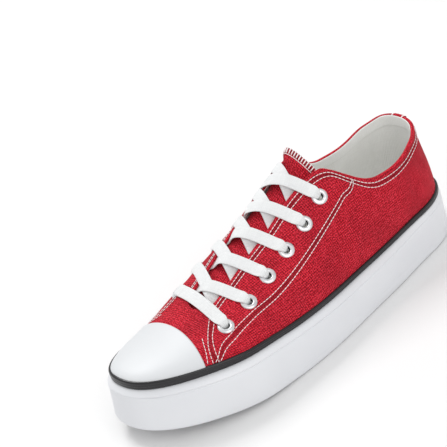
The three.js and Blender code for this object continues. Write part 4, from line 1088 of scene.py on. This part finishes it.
for label, side in SIDES:
    for k in range(6):
        centre, normal, sideways = eyelet_seat(EYELETS[label][k], side)
        points = turned_rings(centre, normal, FLANGE, 28)
        rings.append(grid("eyelet", points, lengths(points), steel))
eyelets = welded("eyelets", rings, angle=45)
settle(eyelets, "eyelet_metal", *["eyelet_%s_%d" % (label, k + 1) for label, side in SIDES for k in range(6)])

# ---------------------------------------------------------------- laces
# One flat woven cotton lace: a bar between the first eyelets, then crossings. Each run comes up from
# under the lower eyestay, crosses the tongue, lies over the other eyestay and dives into its eyelet.
LACE = {"width": 8.4, "thick": 1.2}
lace_cotton = canvas_finish(
    "lace_cotton", (0.85, 0.865, 0.86, 1), (0.72, 0.73, 0.74, 1), (0.92, 0.93, 0.93, 1), 0.65, 0.1, 0.15)


def ribbon(name, line, way, width, thick):
    """A flat woven band along a line, rounded at its edges and closed at its ends."""
    ahead = np.gradient(line, axis=0)
    ahead = ahead / np.linalg.norm(ahead, axis=1)[:, None]
    level = np.cross(ahead, way)
    level = level / np.linalg.norm(level, axis=1)[:, None]
    up = np.cross(level, ahead)
    angle = np.linspace(0, 2 * np.pi, 21)
    flat = np.sign(np.cos(angle)) * np.abs(np.cos(angle)) ** 0.55
    full = np.sign(np.sin(angle)) * np.abs(np.sin(angle)) ** 0.75
    points = (line[:, None] + level[:, None] * (flat * width[:, None] / 2)[..., None]
              + up[:, None] * (full * thick[:, None] / 2)[..., None])
    ends = [np.repeat(points[k].mean(axis=0)[None, None], points.shape[1], axis=1) for k in (0, -1)]
    points = np.concatenate([ends[0], points, ends[1]])
    piece = grid(name, points, lengths(points), lace_cotton)
    with_attribute(piece, points, "seam_dip_and_shade", np.zeros(points.shape[:2]))
    return welded(name, [piece], angle=60)


def lace_run(name, low, high, over, bar=False):
    """Places of one run: from its lower eyelet to its upper one, over or under its twin."""
    (x0, side0), (x1, side1) = low, high
    seat0, seat1 = eyelet_seat(x0, side0), eyelet_seat(x1, side1)
    share = np.linspace(0, 1, 41)
    x = x0 + (x1 - x0) * share
    sideways = seat0[2] + (seat1[2] - seat0[2]) * share
    side = np.where(sideways >= 0, 1.0, -1.0)
    at = np.where(np.abs(sideways) < 1e-6, 1.0, place_sideways(x, side, np.abs(sideways)))
    surface, way = instep_rib(x, side, at), instep_normal(x, side, at)
    run = np.concatenate([[0], np.cumsum(np.linalg.norm(np.diff(surface, axis=0), axis=1))])
    total = run[-1]
    to_end = total - run
    start = run if bar else np.full_like(run, 99.0)
    on_top = 1.0 + 1.2 * np.exp(-((to_end - 4.2) / 2.6) ** 2) + 1.2 * np.exp(-((start - 4.2) / 2.6) ** 2)
    if bar:
        height = on_top + 0.9 * np.sin(math.pi * share)
    else:
        edge = (abs(seat0[2]) - by_side(RIDGE, "throat", np.array(x0),
            side0)) / abs(seat1[2] - seat0[2]) * total
        under = -2.75 + 0 * run
        middle = over * np.exp(-((share - 0.5) / 0.16) ** 2)
        rising = smoothstep(run, edge + 0.5, edge + 11.0)
        height = under + (on_top - under) * rising + middle
    points = surface + way * height[:, None]
    keep = (to_end > 3.3) & ((start > 3.3) if bar else True)
    points, ways = points[keep], way[keep]
    sink = []
    for centre, normal, _ in ((seat1,) if not bar else (seat1, seat0)):
        toward = points[-1] - centre if centre is seat1[0] else points[0] - centre
        toward = toward - normal * (toward @ normal)
        toward = toward / np.linalg.norm(toward)
        dive = [centre + toward * 1.9 + normal * 1.9, centre + toward * 1.0 + normal * 0.9,
                centre + toward * 0.7 - normal * 0.6, centre + toward * 0.5 - normal * 2.6]
        tilt = [normal, normal * 0.7 - toward * 0.7, -toward, -toward]
        sink.append((np.array(dive), np.array(tilt)))
    points = np.concatenate([points, sink[0][0]])
    ways = np.concatenate([ways, sink[0][1]])
    if bar:
        points = np.concatenate([sink[1][0][::-1], points])
        ways = np.concatenate([sink[1][1][::-1], ways])
    line, ways = spline(points, ways, 0.9)
    ends = np.cumsum(np.concatenate([[0], np.linalg.norm(np.diff(line, axis=0), axis=1)]))
    left = ends[-1] - ends
    gather = smoothstep(left, 1.5, 9.0)
    if bar:
        gather = gather * smoothstep(ends, 1.5, 9.0)
    width = 4.0 + (LACE["width"] - 4.0) * gather
    thick = 2.3 + (LACE["thick"] - 2.3) * gather
    return ribbon(name, line, ways, width, thick)


bar = lace_run("lace_bar_run", (EYELETS["inner"][0], -1.0), (EYELETS["outer"][0], 1.0), 0.0, bar=True)
settle(bar, "lace_cotton", "lace_bar")
for k in range(1, 6):
    over = lace_run("lace_over_%d" % k, (EYELETS["inner"][k - 1], -1.0), (EYELETS["outer"][k], 1.0), 1.3)
    beneath = lace_run("lace_under_%d" % k, (EYELETS["outer"][k - 1], 1.0), (EYELETS["inner"][k], -1.0), -0.2)
    settle(over, "lace_cotton", "lace_cross_%d" % k)
    settle(beneath, "lace_cotton", "lace_cross_%d" % k)

# ---------------------------------------------------------------- floor, lights and camera
# A plain pale floor, a soft studio box of lights, and the camera above the outer side of the toe.
bpy.ops.object.select_all(action="DESELECT")
bpy.ops.mesh.primitive_plane_add(size=8, location=(0, 0, 0))
floor = bpy.context.object
floor.name = "floor"
paper, tree, skin = nodes_of("floor_paper")
skin.inputs["Base Color"].default_value = (0.82, 0.82, 0.82, 1)
skin.inputs["Roughness"].default_value = 0.9
floor.data.materials.append(paper)

world = bpy.data.worlds.new("studio")
bpy.context.scene.world = world
world.use_nodes = True
world.node_tree.nodes["Background"].inputs["Color"].default_value = (1.0, 1.0, 1.0, 1)
world.node_tree.nodes["Background"].inputs["Strength"].default_value = 0.74


def softbox(name, place, aim, size, power):
    light = bpy.data.lights.new(name, "AREA")
    light.shape = "RECTANGLE"
    light.size = light.size_y = size
    light.energy = power
    lamp = bpy.data.objects.new(name, light)
    bpy.context.scene.collection.objects.link(lamp)
    lamp.location = place
    way = mathutils.Vector(aim) - mathutils.Vector(place)
    lamp.rotation_euler = way.to_track_quat("-Z", "Y").to_euler()
    return lamp


softbox("key", (-0.05, -0.7, 1.2), (0, 0, 0.04), 0.6, 9)
softbox("fill", (0.3, 1.1, 0.9), (0, 0, 0.04), 1.2, 6)
bpy.context.scene.view_settings.view_transform = "Standard"
bpy.context.scene.view_settings.look = "None"

CAMERA = {"azimuth": 54.2914, "elevation": 33.5213, "roll": -18.2670, "distance": 1085.23, "lens": 139.06}
AIM = np.array([134.0, 0.0, 40.0])             # point on the last that the camera turns about
FRAMED = np.array([-23.3669, -77.4129, 0.0])   # how far from it the picture's centre lies
azimuth, elevation, roll = (math.radians(CAMERA[key]) for key in ("azimuth", "elevation", "roll"))
back = np.array([math.cos(elevation) * math.cos(azimuth), math.cos(elevation) * math.sin(azimuth),
    math.sin(elevation)])
eye = AIM + CAMERA["distance"] * back
ahead = AIM + FRAMED - eye
ahead = ahead / np.linalg.norm(ahead)
right = np.cross(ahead, (0, 0, 1))
right = right / np.linalg.norm(right)
above = np.cross(right, ahead)
right, above = (right * math.cos(roll) + above * math.sin(roll),
    above * math.cos(roll) - right * math.sin(roll))
lens = bpy.data.cameras.new("camera")
lens.lens = CAMERA["lens"]
lens.sensor_width = 36
lens.clip_start = 0.05
camera = bpy.data.objects.new("camera", lens)
bpy.context.scene.collection.objects.link(camera)
place = mathutils.Matrix(np.column_stack([right, above, -ahead]).tolist()).to_4x4()
place.translation = to_row(eye)
camera.matrix_world = place
bpy.context.scene.camera = camera
